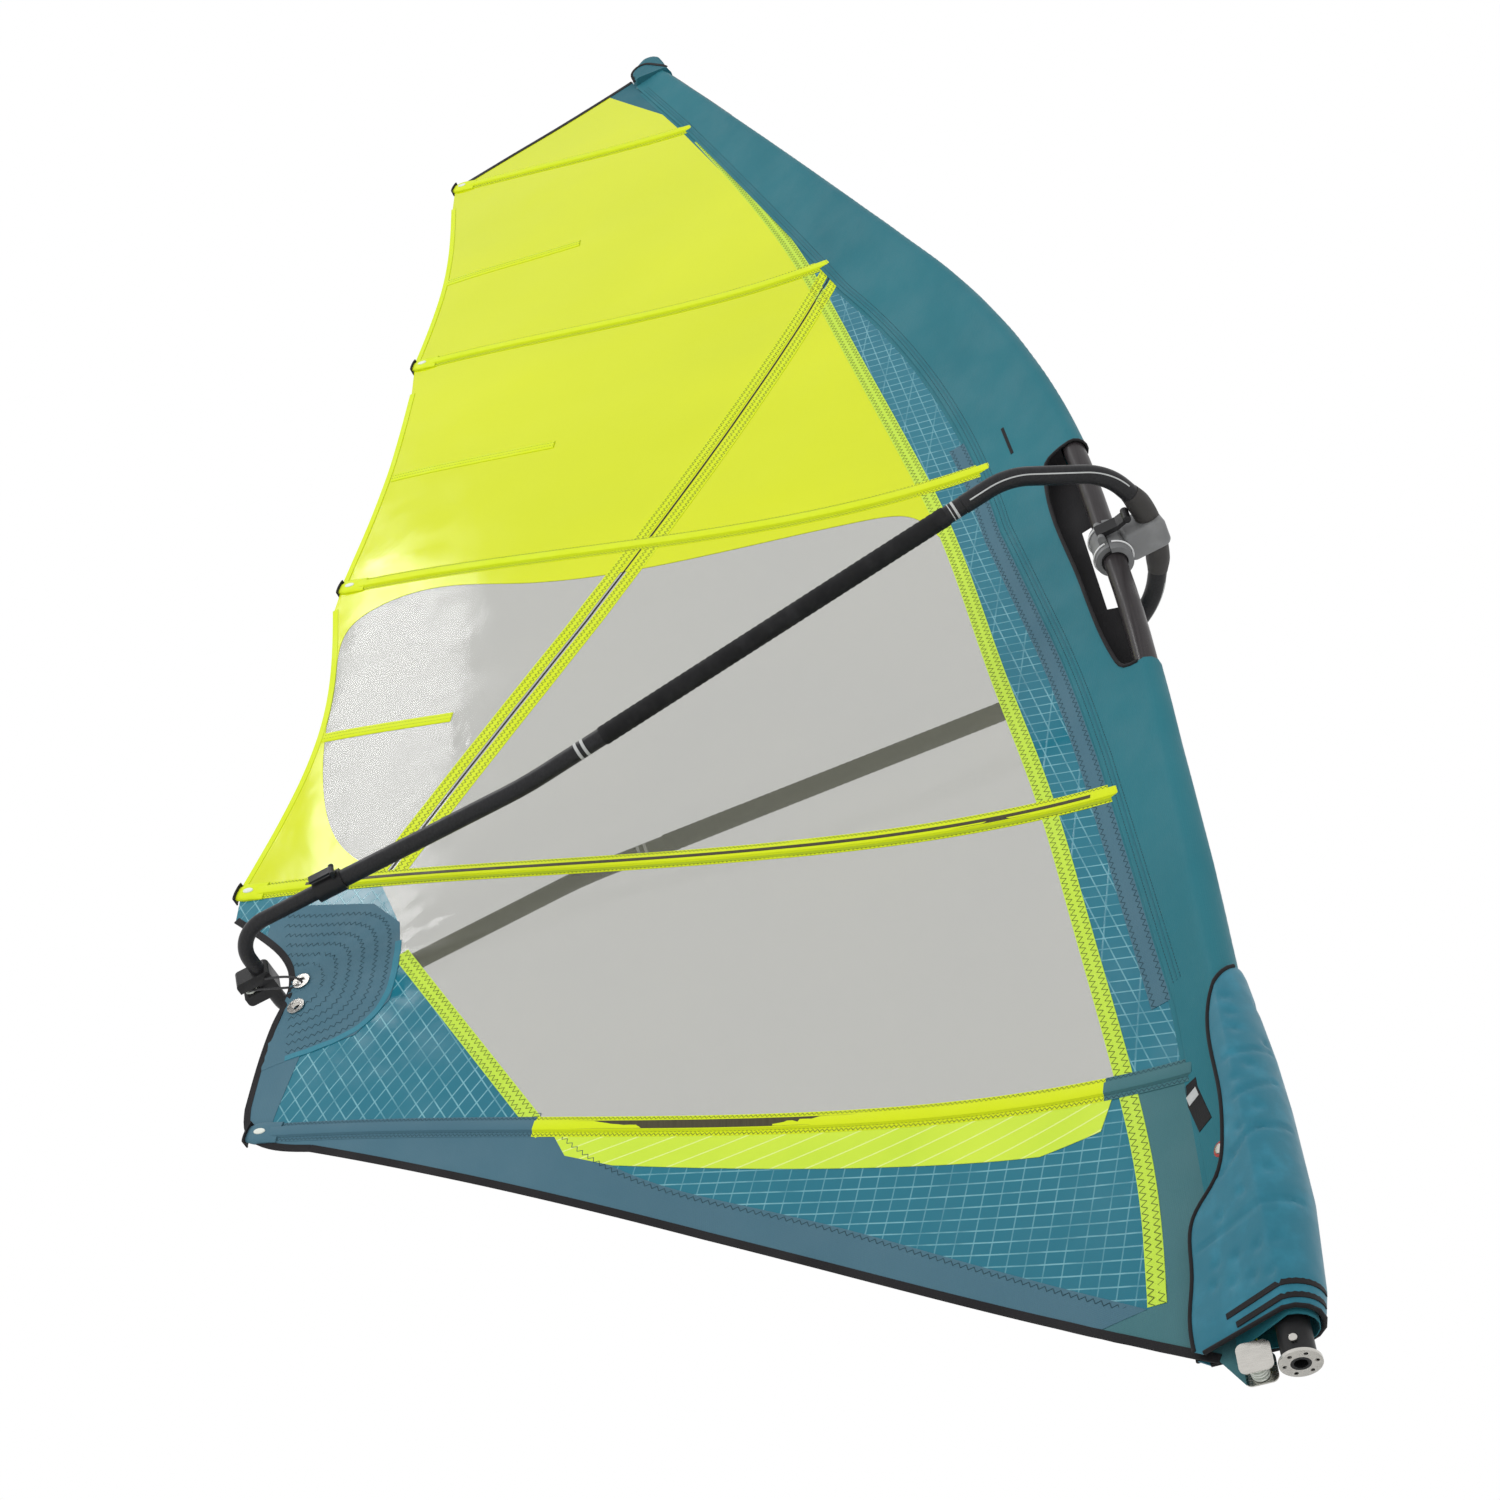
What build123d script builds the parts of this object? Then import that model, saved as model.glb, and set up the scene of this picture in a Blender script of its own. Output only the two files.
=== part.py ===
"""Windsurf sail rig: two-piece mast, cambered batten sail and wishbone boom.

Millimetres. +Z runs up the lower mast, +X points forward, +Y is port.
The origin is the centre of the mast base's bottom face; the clew lies toward -X.
"""
from build123d import *
import os
from math import asin, atan2, cos, degrees, hypot, pi, radians, sin, tan

os.makedirs("parts", exist_ok=True)

# ---- driving dimensions ------------------------------------------------------------------
MAST_OD = 36.5              # reduced-diameter mast, constant below the joint
MAST_TIP_OD = 22.0
MAST_WALL = 3.2
MAST_FOOT_Z = 78.0          # where the mast tube stands on the extension collar
MAST_JOINT_Z = 2010.0
MAST_TIP_Z = 4020.0
FERRULE = 120.0

CLOTH = 0.6                 # sail cloth and film
TAPE = 0.8                  # seam tape, strap and binding, on the starboard face
POCKET = 5.0                # batten pocket, on the starboard face
BATTEN_GAP = (1.0, 4.0)     # batten between these distances from the cloth
BATTEN_W = 14.0
POCKET_W = 36.0
GROMMET_R = 9.0
GROMMET_RIM = 15.0
GROMMET_HOLE = 7.5
# radius, port face and depth of the barrel and the two rims
GROMMET_RINGS = [(8.95, 4.4, 6.4), (15.0, 4.4, 1.5), (15.0, -0.4, 1.6)]
END_OVER = 6.0
END_ROUND = 2.0
END_PORT, END_STARBOARD = 7.0, 9.0
BATTEN_SETBACK = 22.0
MINI_W, MINI_T = 24.0, 2.4
MINI_END = 22.0
BIND_W = 13.0
BIND_LEAN = 0.5             # the foot hem is set off along the slope of the foot
TAPE_W = 27.0
STRAP_W, STRAP_SPLIT = 66.0, 9.0
SLEEVE_T = 1.2
SEAM_HALF = 3.0             # half thickness of the sleeve where it closes on the cloth
SLEEVE_ROOM = 4.0           # sleeve stands off the mast by this much
SLEEVE_EASE = 8.5           # and by this much more round the foot
EASE_FOOT, EASE_TOP = 800.0, 1250.0
SLEEVE_FOOT, SLEEVE_TOP = 46.0, 3960.0
CUTOUT_FOOT = 1247.0
SPAN = 160.0                # half width of the cutting block that trims cloth
FAR = 4500.0                # reach of cutting blocks along the sail, past all of it

BOOM_Z = 1560.0             # height of the boom clamp on the mast
BOOM_DROOP = 15.2           # boom plane below horizontal toward the clew, degrees
BOOM_OD = 29.0
BOOM_ID = 25.2
GRIP_OD = 32.0
TAIL_OD = 25.0
BOOM_NOSE = 72.0            # mast axis to the front of the bow
BOOM_WIDE = 205.0           # greatest half width
BOOM_TAIL_W = 108.0         # half width of the parallel rear stretch
ARM_FRONT = -190.0
ARM_REAR = -1370.0
TAIL_INNER = -1060.0
TAIL_END = -1530.0

PLUG_T, PLUG_DEPTH = 8.0, 40.0
CAP_HALF, CAP_ROUND, CAP_CLEAR = 21.0, 7.0, 0.3
# head cap outline on the sail plane
CAP = [(-806, SLEEVE_TOP), (-842, 4056), (-872, 4064), (-909, 4002), (-896, SLEEVE_TOP)]
CUP_R, CUP_NECK, CUP_TOP, CUP_SOCKET = 20.0, 12.0, 58.0, 18.0
EXTENSION_L, EXTENSION_BORE = 420.0, 12.4
COLLAR_R, COLLAR_ROUND = 21.0, 2.5
FLANGE_R, FLANGE_T, FLANGE_PCD, FLANGE_HOLE = 25.0, 4.0, 18.5, 2.6
BUTTON_Z, BUTTON_R, BUTTON_HEAD, BUTTON_GAP, BUTTON_CAP = 20.0, 3.0, 5.0, 0.5, 4.0
BUTTON_INSET, BUTTON_ROUND = 0.3, 1.0

# tack fairing: height and front radius of its sections, and its aft edge on the sail plane
FAIRING_SECTIONS = [(48, 37), (90, 46), (211, 56), (351, 55), (435, 51), (520, 43), (606, 35)]
FAIRING_AFT, FAIRING_LIP, FAIRING_SPLIT, FAIRING_GAP = -128.0, 9.0, -56.0, 0.4
FAIRING_EDGE = [(-118, 48), (-116, 105), (-103, 160), (-85, 235), (-50, 262), (-30, 311), (-22, 370),
                (-22, 450), (-18, 505), (2, 560), (45, 600)]

# tack pulley block
TACK_X, TACK_Y = -49.0, 13.0
CHEEK_W, CHEEK_H, CHEEK_ROUND, CHEEK_T, CHEEK_Y = 40.0, 40.0, 9.0, 2.0, 13.0
BLOCK_Z, AXLE_Z, BAR_Z, AXLE_R = 23.0, 16.0, 36.0, 3.0
SHEAVE_R, SHEAVE_W, SHEAVE_Y, GROOVE = 11.0, 10.0, 5.7, 4.0
WEB_W, WEB_T, WEB_TOP = 8.0, 2.4, 120.0

# boom details
BOW_OD = 30.5
BUTT = 0.5                  # gap between the bow and each arm
ARM_BEND, ARM_BEND_R = -1000.0, 600.0
GRIP_START, GRIP_L = 30.0, 640.0
LOOP_R, TAIL_WALL = 60.0, 2.0
COLLAR_OD, COLLAR_L, COLLAR_LIP = 37.0, 42.0, 6.0
PIVOT_X, PIVOT_OUT, EAR_R, EAR_GAP, EAR_TOP, CLIP_PIN_R = -1336.0, 25.0, 4.5, 8.0, 11.5, 2.0
CLIP_L, CLIP_T, CLIP_RISE, CLIP_SIDE = 40.0, 4.0, 1.5, 0.3
FIT_FRONT, FIT_REAR, FIT_W, FIT_H, FIT_ROUND = -1513.0, -1572.0, 52.0, 34.0, 8.0
SLOT_FRONT, SLOT_W, TAIL_SHEAVE_X, TAIL_SHEAVE_R, TAIL_GROOVE = -1538.0, 12.0, -1557.0, 11.5, 4.5
LINE_D, LINE_REACH, SHEAVE_SIDE = 4.0, 0.45, 0.4
# outhaul route in boom plane directions: forward, port, up from the mast axis
LINE_ROUTE = [
    (-1524, -15, -19.2),
    (-1500, -15, -30),
    (-1469, -10, -49.6),
    (-1469, 10, -49.6),
    (-1500, 11, -33),
    (-1530, 0, -24),
    (-1566.1, 0, -5.6),
    (-1566.1, 0, 3.6),
    (-1548, 0, 22.5),
    (-1524, 0, 20),
]

# boom head
LINER_R, LINER_H = 21.0, 76.0
RING_R, HEAD_H, JAW_H, SPLIT_GAP = 30.0, 80.0, 68.0, 0.5
SADDLE_X, SADDLE_L, SADDLE_W, SADDLE_H, SADDLE_ROUND = 56.0, 72.0, 54.0, 52.0, 12.0
PIN_Y, PIN_R, KNUCKLE_R, KNUCKLE_GAP, KNUCKLE_TOP = 38.0, 3.0, 7.0, 12.0, 26.0
LEVER_X, LEVER_Y, LUG_R, LUG_GAP, LUG_TOP, LEVER_PIN_R = -8.0, 38.0, 6.0, 13.0, 20.0, 2.5
# lever outline from its pivot: forward and to port
LEVER_OUTLINE = [(-5, 2), (-5, -5), (30, -9), (50, -17), (50, -10), (30, -1), (8, 2)]
HEAD_ROUND, PIN_OVER, KNUCKLE_INSET = 6.0, 2.0, 0.5

PIN_BORE_R = 8.1            # mast base bore for the foot pin
PIN_BORE_L = 30.0
RUN = 0.05                  # radial running clearance

# ---- mast centreline: stretches of (bottom, top, lean at bottom, lean at top) ----------------
STRETCHES = [
    (0, 1200, 0, 0),
    (1200, 1450, 0, 4),
    (1450, 1700, 4, 4),
    (1700, 2650, 4, 23),
    (2650, MAST_TIP_Z, 23, 24.5),
]


def mast_at(z):
    """Position along X and lean in radians of the mast centreline at a height."""
    x = 0.0
    for bottom, top, lean0, lean1 in STRETCHES:
        low, high = radians(lean0), radians(lean1)
        reach = min(z, top)
        if lean0 == lean1:
            x -= (reach - bottom) * tan(low)
            lean = low
        else:
            radius = (top - bottom) / (sin(high) - sin(low))
            lean = asin(sin(low) + (reach - bottom) / radius)
            x -= radius * (cos(low) - cos(lean))
        if z <= top:
            break
    return x, lean


def mast_radius(z):
    """Outer radius of the mast, which tapers above the joint."""
    if z <= MAST_JOINT_Z:
        return MAST_OD / 2
    part = (z - MAST_JOINT_Z) / (MAST_TIP_Z - MAST_JOINT_Z)
    return (MAST_OD + (MAST_TIP_OD - MAST_OD) * part) / 2


def mast_rod(bottom, top, inset):
    """Solid that follows the mast between two heights, its radius smaller by inset."""
    with BuildPart() as rod:
        for low, high, *leans in STRETCHES:
            start, end = max(low, bottom), min(high, top)
            cuts = [start] + [MAST_JOINT_Z] * (start < MAST_JOINT_Z < end) + [end]
            for z0, z1 in zip(cuts, cuts[1:]):
                if z1 <= z0:
                    continue
                ends = []
                for z in (z0, (z0 + z1) / 2, z1):
                    ends.append((mast_at(z)[0], 0, z))
                with BuildLine() as axis:
                    if leans[0] == leans[1]:
                        Line(ends[0], ends[2])
                    else:
                        ThreePointArc(*ends)
                for at, z in ((0, z0), (1, z1)):
                    with BuildSketch(Plane(origin=axis.line @ at, z_dir=axis.line % at)):
                        Circle(mast_radius(z) - inset)
                sweep(path=axis.line, multisection=True)
    return rod.part


# ---- sail surface ----------------------------------------------------------------------------
# height, draft depth and leech position of the sections that shape the cloth
SECTIONS = [
    (-60, 60, -1480),
    (450, 75, -1480),
    (1150, 55, -1500),
    (1900, 60, -1500),
    (2850, 32, -1410),
    (3650, 8, -1375),
    (4130, 1, -1375),
]
DRAFT_STEPS = [-0.04, 0, 0.06, 0.14, 0.25, 0.4, 0.55, 0.7, 0.85, 1, 1.1]


def draft(x, z):
    """Distance of the cloth to port of the mast plane: fullest a third of the way aft."""
    lower = [s for s in SECTIONS if s[0] <= z][-1]
    upper = [s for s in SECTIONS if s[0] > z][0]
    part = (z - lower[0]) / (upper[0] - lower[0])
    depth = lower[1] + (upper[1] - lower[1]) * part
    leech = lower[2] + (upper[2] - lower[2]) * part
    luff = mast_at(z)[0]
    along = min(max((luff - x) / (luff - leech), 0), 1)
    return depth * 6.75 * along * (1 - along) ** 2


def cloth_layer(near, far):
    """Cambered sheet between two distances from the sail surface, positive to port."""
    with BuildPart() as layer:
        for z, depth, leech in SECTIONS:
            luff = mast_at(z)[0]
            line = []
            for step in DRAFT_STEPS:
                along = min(max(step, 0), 1)
                line.append((luff - (luff - leech) * step, depth * 6.75 * along * (1 - along) ** 2))
            with BuildSketch(Plane.XY.offset(z)):
                with BuildLine():
                    Spline(*[(x, y + near) for x, y in line])
                    Spline(*[(x, y + far) for x, y in line])
                    for x, y in (line[0], line[-1]):
                        Line((x, y + near), (x, y + far))
                make_face()
        loft()
    return layer.part


def stripe(start, end, width, grow=0.0):
    """Corners of a straight strip of cloth, in sail plane coordinates, longer by grow."""
    run, rise = end[0] - start[0], end[1] - start[1]
    size = hypot(run, rise)
    ux, uz = run / size, rise / size
    px, pz = -uz * width / 2, ux * width / 2
    a = (start[0] - ux * grow, start[1] - uz * grow)
    b = (end[0] + ux * grow, end[1] + uz * grow)
    return [
        (a[0] + px, a[1] + pz),
        (b[0] + px, b[1] + pz),
        (b[0] - px, b[1] - pz),
        (a[0] - px, a[1] - pz),
    ]


def toward(point, target, distance):
    """The point moved a distance toward a target."""
    run, rise = target[0] - point[0], target[1] - point[1]
    size = hypot(run, rise)
    return (point[0] + run / size * distance, point[1] + rise / size * distance)


# ---- sail plan -----------------------------------------------------------------------------------
HEAD_AFT = (-914, 4003)
FOOT_AFT = (-1357, 757)
FOOT_FRONT = (-92, 44)
FOOT_ROUND = (-670, 408)        # middle of the foot
# battens from luff to leech, counted from the head
BATTENS = [
    ((-752, 3634), (-1375, 3786)),
    ((-412, 2812), (-1405, 2987)),
    ((-205, 1943), (-1487, 2217)),
    ((-73, 1019), (-1579, 1393)),
    ((-66, 476), (-1467, 820)),
]
# half-length battens that stiffen the leech between the full ones
MINI_BATTENS = [
    ((-1028, 3298), (-1362, 3320)),
    ((-1053, 2502), (-1420, 2561)),
    ((-1209, 1710), (-1473, 1757)),
]
END_L, END_W = 44, 26            # footprint of the moulded batten ends
NOTCH = [(-1575, 1325), (-1497, 1240), (-1462, 1192), (-1442, 1117), (-1453, 1072), (-1481, 875)]
SEAM_GAP = [(0, 66), (580, 58), (1100, 96), (1750, 160), (2700, 156), (3650, 84), (4100, 60)]
SEAM_STEPS = [0, 350, 700, 1100, 1500, 2000, 2500, 3000, 3500, 4000]
LUFF_TAPE = [(-154, 150), (-142, 306), (-147, 507), (-170, 811), (-192, 1070), (-234, 1379),
             (-292, 1828), (-347, 2109), (-431, 2494), (-517, 2875), (-735, 3563)]
HEAD_PANEL_FRONT = (-778, 3690)
HEAD_PANEL_AFT = (-985, 3985)
CLEW_EDGE = [(-1345, 1420), (-1262, 1215), (-1248, 1125), (-985, 690), (-900, 540)]
PATCH = [(-1500, 1330), (-1308, 1266), (-1256, 1205), (-1247, 1117), (-1256, 1032), (-1309, 974),
         (-1427, 956), (-1520, 940)]
FOOT_FILM = [(-985, 720), (-950, 640), (-880, 606), (-276, 436), (-190, 440), (-150, 520)]
STRAP = ((-443, 2790), (-1300, 1318))
CLEW_TAPE = ((-1246, 1130), (-985, 690))
GROMMETS = [(-1421, 1127), (-1423, 1072)]
CUTOUT = [(80, 1247), (-10, 1247), (-45, 1285), (-77, 1528), (-98, 1835), (-61, 1856), (80, 1856)]


def seam_at(z):
    """Sail plane point of the sleeve's aft seam at a height."""
    for low, high in zip(SEAM_GAP, SEAM_GAP[1:]):
        if z <= high[0]:
            gap = low[1] + (high[1] - low[1]) * (z - low[0]) / (high[0] - low[0])
            return (mast_at(z)[0] - gap, z)


with BuildSketch(Plane.XZ) as sail_plan:
    with BuildLine():
        luff = Spline(*[seam_at(z) for z in SEAM_STEPS])
        Line(luff @ 1, HEAD_AFT)
        Line(HEAD_AFT, BATTENS[0][1])
        Line(BATTENS[0][1], (-1374, 3684))
        Spline((-1374, 3684), (-1362, 3318), BATTENS[1][1])
        Line(BATTENS[1][1], (-1401, 2874))
        Spline((-1401, 2874), (-1425, 2563), BATTENS[2][1])
        Line(BATTENS[2][1], (-1494, 2150))
        Spline((-1494, 2150), (-1476, 1756), BATTENS[3][1])
        Line(BATTENS[3][1], NOTCH[0])
        Spline(*NOTCH)
        Spline(NOTCH[-1], (-1472, 826), (-1425, 782), FOOT_AFT)
        foot = Spline(FOOT_AFT, FOOT_ROUND, FOOT_FRONT)
        Line(FOOT_FRONT, luff @ 0)
    make_face()
    for start, end in BATTENS:
        Polygon(*stripe(toward(end, start, END_L), end, END_W, 6), align=None, mode=Mode.SUBTRACT)

with BuildSketch(Plane.XZ) as aft_of_tape:
    with BuildLine():
        tape = Spline(*LUFF_TAPE)
        Polyline(tape @ 1, HEAD_PANEL_FRONT, HEAD_PANEL_AFT, (-1700, 4300), (-1700, 0), tape @ 0)
    make_face()

# ---- cloth panels -----------------------------------------------------------------------------------
cloth = cloth_layer(0, CLOTH)
face_layer = cloth_layer(-TAPE, 0)
pocket_layer = cloth_layer(-POCKET, 0)
batten_layer = cloth_layer(-BATTEN_GAP[1], -BATTEN_GAP[0])


def batten_strip(upper, lower, overrun=400):
    """Corners of the strip between two battens, carried past both their ends."""
    corners = []
    for start, end in (upper, lower):
        corners.append((toward(start, end, -overrun), toward(end, start, -overrun)))
    return [corners[0][0], corners[0][1], corners[1][1], corners[1][0]]


# ---- luff sleeve: a hollow pocket round the mast, cut away where the boom clamps on -----------------
SLEEVE_STEPS = [SLEEVE_FOOT, 420, 800, 1100, 1450, 1700, 2100, 2650, 3100, 3550, SLEEVE_TOP]


def sleeve_form(inset, seam_half, seam_move):
    """Teardrop loft round the mast that closes at the aft seam."""
    with BuildPart() as form:
        for z in SLEEVE_STEPS:
            x, lean = mast_at(z)
            ease = SLEEVE_EASE * min(max((EASE_TOP - z) / (EASE_TOP - EASE_FOOT), 0), 1)
            r = mast_radius(z) / cos(lean) + SLEEVE_ROOM + ease - inset
            seam_x = seam_at(z)[0] + seam_move
            seam_y = draft(seam_x, z)
            with BuildSketch(Plane.XY.offset(z)):
                with BuildLine():
                    ThreePointArc((x, r), (x + r, 0), (x, -r))
                    Polyline((x, -r), (seam_x, seam_y - seam_half), (seam_x, seam_y + seam_half), (x, r))
                make_face()
        loft()
    return form.part


sleeve_outer = sleeve_form(0, SEAM_HALF, -SEAM_HALF)
sleeve_inner = sleeve_form(SLEEVE_T, SEAM_HALF - 2, 2 * SEAM_HALF)


# a line above the head and one below the foot
ABOVE = ((-752, 4634), (-1375, 4786))
BELOW = ((-66, -700), (-1467, -700))
FILM = [
    ("film_head", ABOVE, BATTENS[0]),
    ("film_upper", BATTENS[0], BATTENS[1]),
    ("film_middle", BATTENS[1], BATTENS[2]),
    ("window_upper", BATTENS[2], BATTENS[3]),
]
for name, upper, lower in FILM:
    with BuildPart() as film:
        with BuildSketch(Plane.XZ):
            add(sail_plan.sketch_local)
            add(aft_of_tape.sketch_local, mode=Mode.INTERSECT)
            Polygon(*batten_strip(upper, lower), align=None, mode=Mode.INTERSECT)
        extrude(amount=SPAN, both=True)
        add(cloth, mode=Mode.INTERSECT)
        add(sleeve_outer, mode=Mode.SUBTRACT)
    film.part.label = name
    export_step(film.part, f"parts/{name}.step")

clew_zone = [(-1700, 1600)] + CLEW_EDGE + [(-1700, 400)]

with BuildPart() as window_lower:
    with BuildSketch(Plane.XZ):
        add(sail_plan.sketch_local)
        add(aft_of_tape.sketch_local, mode=Mode.INTERSECT)
        Polygon(*batten_strip(BATTENS[3], BATTENS[4]), align=None, mode=Mode.INTERSECT)
        Polygon(*clew_zone, align=None, mode=Mode.SUBTRACT)
    extrude(amount=SPAN, both=True)
    add(cloth, mode=Mode.INTERSECT)
window_lower.part.label = "window_lower"
export_step(window_lower.part, "parts/window_lower.step")

with BuildPart() as clew_panel:
    with BuildSketch(Plane.XZ):
        add(sail_plan.sketch_local)
        Polygon(*batten_strip(BATTENS[3], BATTENS[4]), align=None, mode=Mode.INTERSECT)
        Polygon(*clew_zone, align=None, mode=Mode.INTERSECT)
        with Locations(*GROMMETS):
            Circle(GROMMET_R, mode=Mode.SUBTRACT)
    extrude(amount=SPAN, both=True)
    add(cloth, mode=Mode.INTERSECT)
clew_panel.part.label = "clew_panel"
export_step(clew_panel.part, "parts/clew_panel.step")

with BuildPart() as foot_panel:
    with BuildSketch(Plane.XZ):
        add(sail_plan.sketch_local)
        add(aft_of_tape.sketch_local, mode=Mode.INTERSECT)
        Polygon(*batten_strip(BATTENS[4], BELOW), align=None, mode=Mode.INTERSECT)
    extrude(amount=SPAN, both=True)
    add(cloth, mode=Mode.INTERSECT)
foot_panel.part.label = "foot_panel"
export_step(foot_panel.part, "parts/foot_panel.step")

# ---- sleeve pieces and the cloth in front of the luff tape ----
for name, keep_low, keep_high in (("sleeve_lower", 0, CUTOUT_FOOT), ("sleeve_upper", CUTOUT_FOOT, FAR)):
    with BuildPart() as sleeve:
        add(sleeve_outer)
        add(sleeve_inner, mode=Mode.SUBTRACT)
        with BuildSketch(Plane.XZ):
            Polygon(*CUTOUT, align=None)
        extrude(amount=SPAN, both=True, mode=Mode.SUBTRACT)
        with BuildSketch(Plane.XZ):
            with Locations((0, (keep_low + keep_high) / 2)):
                Rectangle(2 * FAR, keep_high - keep_low)
        extrude(amount=SPAN, both=True, mode=Mode.INTERSECT)
    sleeve.part.label = name
    export_step(sleeve.part, f"parts/{name}.step")

LUFF = [
    ("head_panel", ABOVE, BATTENS[0]),
    ("luff_panel", BATTENS[0], BATTENS[4]),
    ("tack_panel", BATTENS[4], BELOW),
]
for name, upper, lower in LUFF:
    with BuildPart() as front:
        with BuildSketch(Plane.XZ):
            add(sail_plan.sketch_local)
            add(aft_of_tape.sketch_local, mode=Mode.SUBTRACT)
            Polygon(*batten_strip(upper, lower), align=None, mode=Mode.INTERSECT)
        extrude(amount=SPAN, both=True)
        add(cloth, mode=Mode.INTERSECT)
        add(sleeve_outer, mode=Mode.SUBTRACT)
    front.part.label = name
    export_step(front.part, f"parts/{name}.step")

# ---- battens, their pockets and moulded ends -----------------------------------------------------------
with BuildSketch(Plane.XZ) as pocket_zone:
    for start, end in BATTENS:
        Polygon(*stripe(start, end, POCKET_W), align=None)
    for start, end in MINI_BATTENS:
        Polygon(*stripe(start, end, MINI_W), align=None)
    add(sail_plan.sketch_local, mode=Mode.INTERSECT)

for number, (start, end) in enumerate(BATTENS, start=1):
    tail = toward(end, start, END_L + END_OVER)
    nose = toward(start, end, BATTEN_SETBACK)
    with BuildPart() as batten:
        with BuildSketch(Plane.XZ):
            Polygon(*stripe(nose, tail, BATTEN_W), align=None)
        extrude(amount=SPAN, both=True)
        add(batten_layer, mode=Mode.INTERSECT)
        add(sleeve_outer, mode=Mode.SUBTRACT)
    batten.part.label = f"batten_{number}"
    export_step(batten.part, f"parts/batten_{number}.step")

    with BuildPart() as pocket:
        with BuildSketch(Plane.XZ):
            Polygon(*stripe(start, tail, POCKET_W), align=None)
            add(sail_plan.sketch_local, mode=Mode.INTERSECT)
        extrude(amount=SPAN, both=True)
        add(pocket_layer, mode=Mode.INTERSECT)
        add(batten.part, mode=Mode.SUBTRACT)
        add(sleeve_outer, mode=Mode.SUBTRACT)
    pocket.part.label = f"batten_pocket_{number}"
    export_step(pocket.part, f"parts/batten_pocket_{number}.step")

with BuildPart() as mini_battens:
    with BuildSketch(Plane.XZ):
        for start, end in MINI_BATTENS:
            Polygon(*stripe(start, toward(end, start, MINI_END), MINI_W), align=None)
    extrude(amount=SPAN, both=True)
    add(cloth_layer(-MINI_T, 0), mode=Mode.INTERSECT)
mini_battens.part.label = "mini_battens"
export_step(mini_battens.part, "parts/mini_battens.step")

with BuildPart() as batten_ends:
    for start, end in BATTENS:
        tip = toward(end, start, END_L / 2)
        slope = degrees(atan2(end[1] - start[1], start[0] - end[0]))
        with BuildSketch(Plane.XZ.offset(-END_PORT)):
            with Locations(Location((tip[0], tip[1], 0), (0, 0, -slope))):
                SlotOverall(END_L + 2 * END_OVER, END_W)
        extrude(amount=END_PORT + END_STARBOARD)
    fillet(batten_ends.edges().filter_by(GeomType.LINE).group_by(Axis.Y)[0], END_ROUND)
batten_ends.part.label = "batten_ends"
export_step(batten_ends.part, "parts/batten_ends.step")

# ---- patch, straps, tapes and bindings on the starboard face ----------------------------------------------
with BuildSketch(Plane.XZ) as patch_zone:
    Polygon(*PATCH, align=None)
    add(sail_plan.sketch_local, mode=Mode.INTERSECT)
    add(pocket_zone.sketch_local, mode=Mode.SUBTRACT)
    with Locations(*GROMMETS):
        Circle(GROMMET_RIM, mode=Mode.SUBTRACT)

with BuildPart() as clew_patch:
    with BuildSketch(Plane.XZ):
        add(patch_zone.sketch_local)
    extrude(amount=SPAN, both=True)
    add(face_layer, mode=Mode.INTERSECT)
clew_patch.part.label = "clew_patch"
export_step(clew_patch.part, "parts/clew_patch.step")

with BuildPart() as grommets:
    for radius, port, depth in GROMMET_RINGS:
        with BuildSketch(Plane.XZ.offset(-port)):
            with Locations(*GROMMETS):
                Circle(radius)
                Circle(GROMMET_HOLE, mode=Mode.SUBTRACT)
        extrude(amount=depth)
grommets.part.label = "grommets"
export_step(grommets.part, "parts/grommets.step")

with BuildSketch(Plane.XZ) as free_cloth:
    add(sail_plan.sketch_local)
    add(pocket_zone.sketch_local, mode=Mode.SUBTRACT)
    Polygon(*PATCH, align=None, mode=Mode.SUBTRACT)

foot_edge = [FOOT_AFT, FOOT_ROUND, FOOT_FRONT]
with BuildSketch(Plane.XZ) as binding_zone:
    Polygon(*stripe(HEAD_AFT, BATTENS[0][1], 2 * BIND_W), align=None)
    with BuildLine():
        hem = Spline(*[(x + BIND_W * BIND_LEAN, z + BIND_W) for x, z in foot_edge])
        edge = Spline(*[(x, z - BIND_W) for x, z in foot_edge])
        Line(hem @ 0, edge @ 0)
        Line(hem @ 1, edge @ 1)
    make_face()
    add(free_cloth.sketch_local, mode=Mode.INTERSECT)

with BuildSketch(Plane.XZ) as tape_zone:
    with BuildLine():
        Spline(*LUFF_TAPE)
    trace(line_width=TAPE_W)
    Polygon(*stripe(*CLEW_TAPE, TAPE_W), align=None)
    add(free_cloth.sketch_local, mode=Mode.INTERSECT)
    add(binding_zone.sketch_local, mode=Mode.SUBTRACT)

with BuildSketch(Plane.XZ) as strap_zone:
    Polygon(*stripe(*STRAP, STRAP_W), align=None)
    Polygon(*stripe(*STRAP, STRAP_SPLIT, 10), align=None, mode=Mode.SUBTRACT)
    add(free_cloth.sketch_local, mode=Mode.INTERSECT)
    add(tape_zone.sketch_local, mode=Mode.SUBTRACT)

with BuildSketch(Plane.XZ) as foot_film_zone:
    Polygon(*FOOT_FILM, align=None)
    Polygon(*batten_strip(BATTENS[4], BELOW), align=None, mode=Mode.INTERSECT)
    add(free_cloth.sketch_local, mode=Mode.INTERSECT)
    add(tape_zone.sketch_local, mode=Mode.SUBTRACT)

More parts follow.
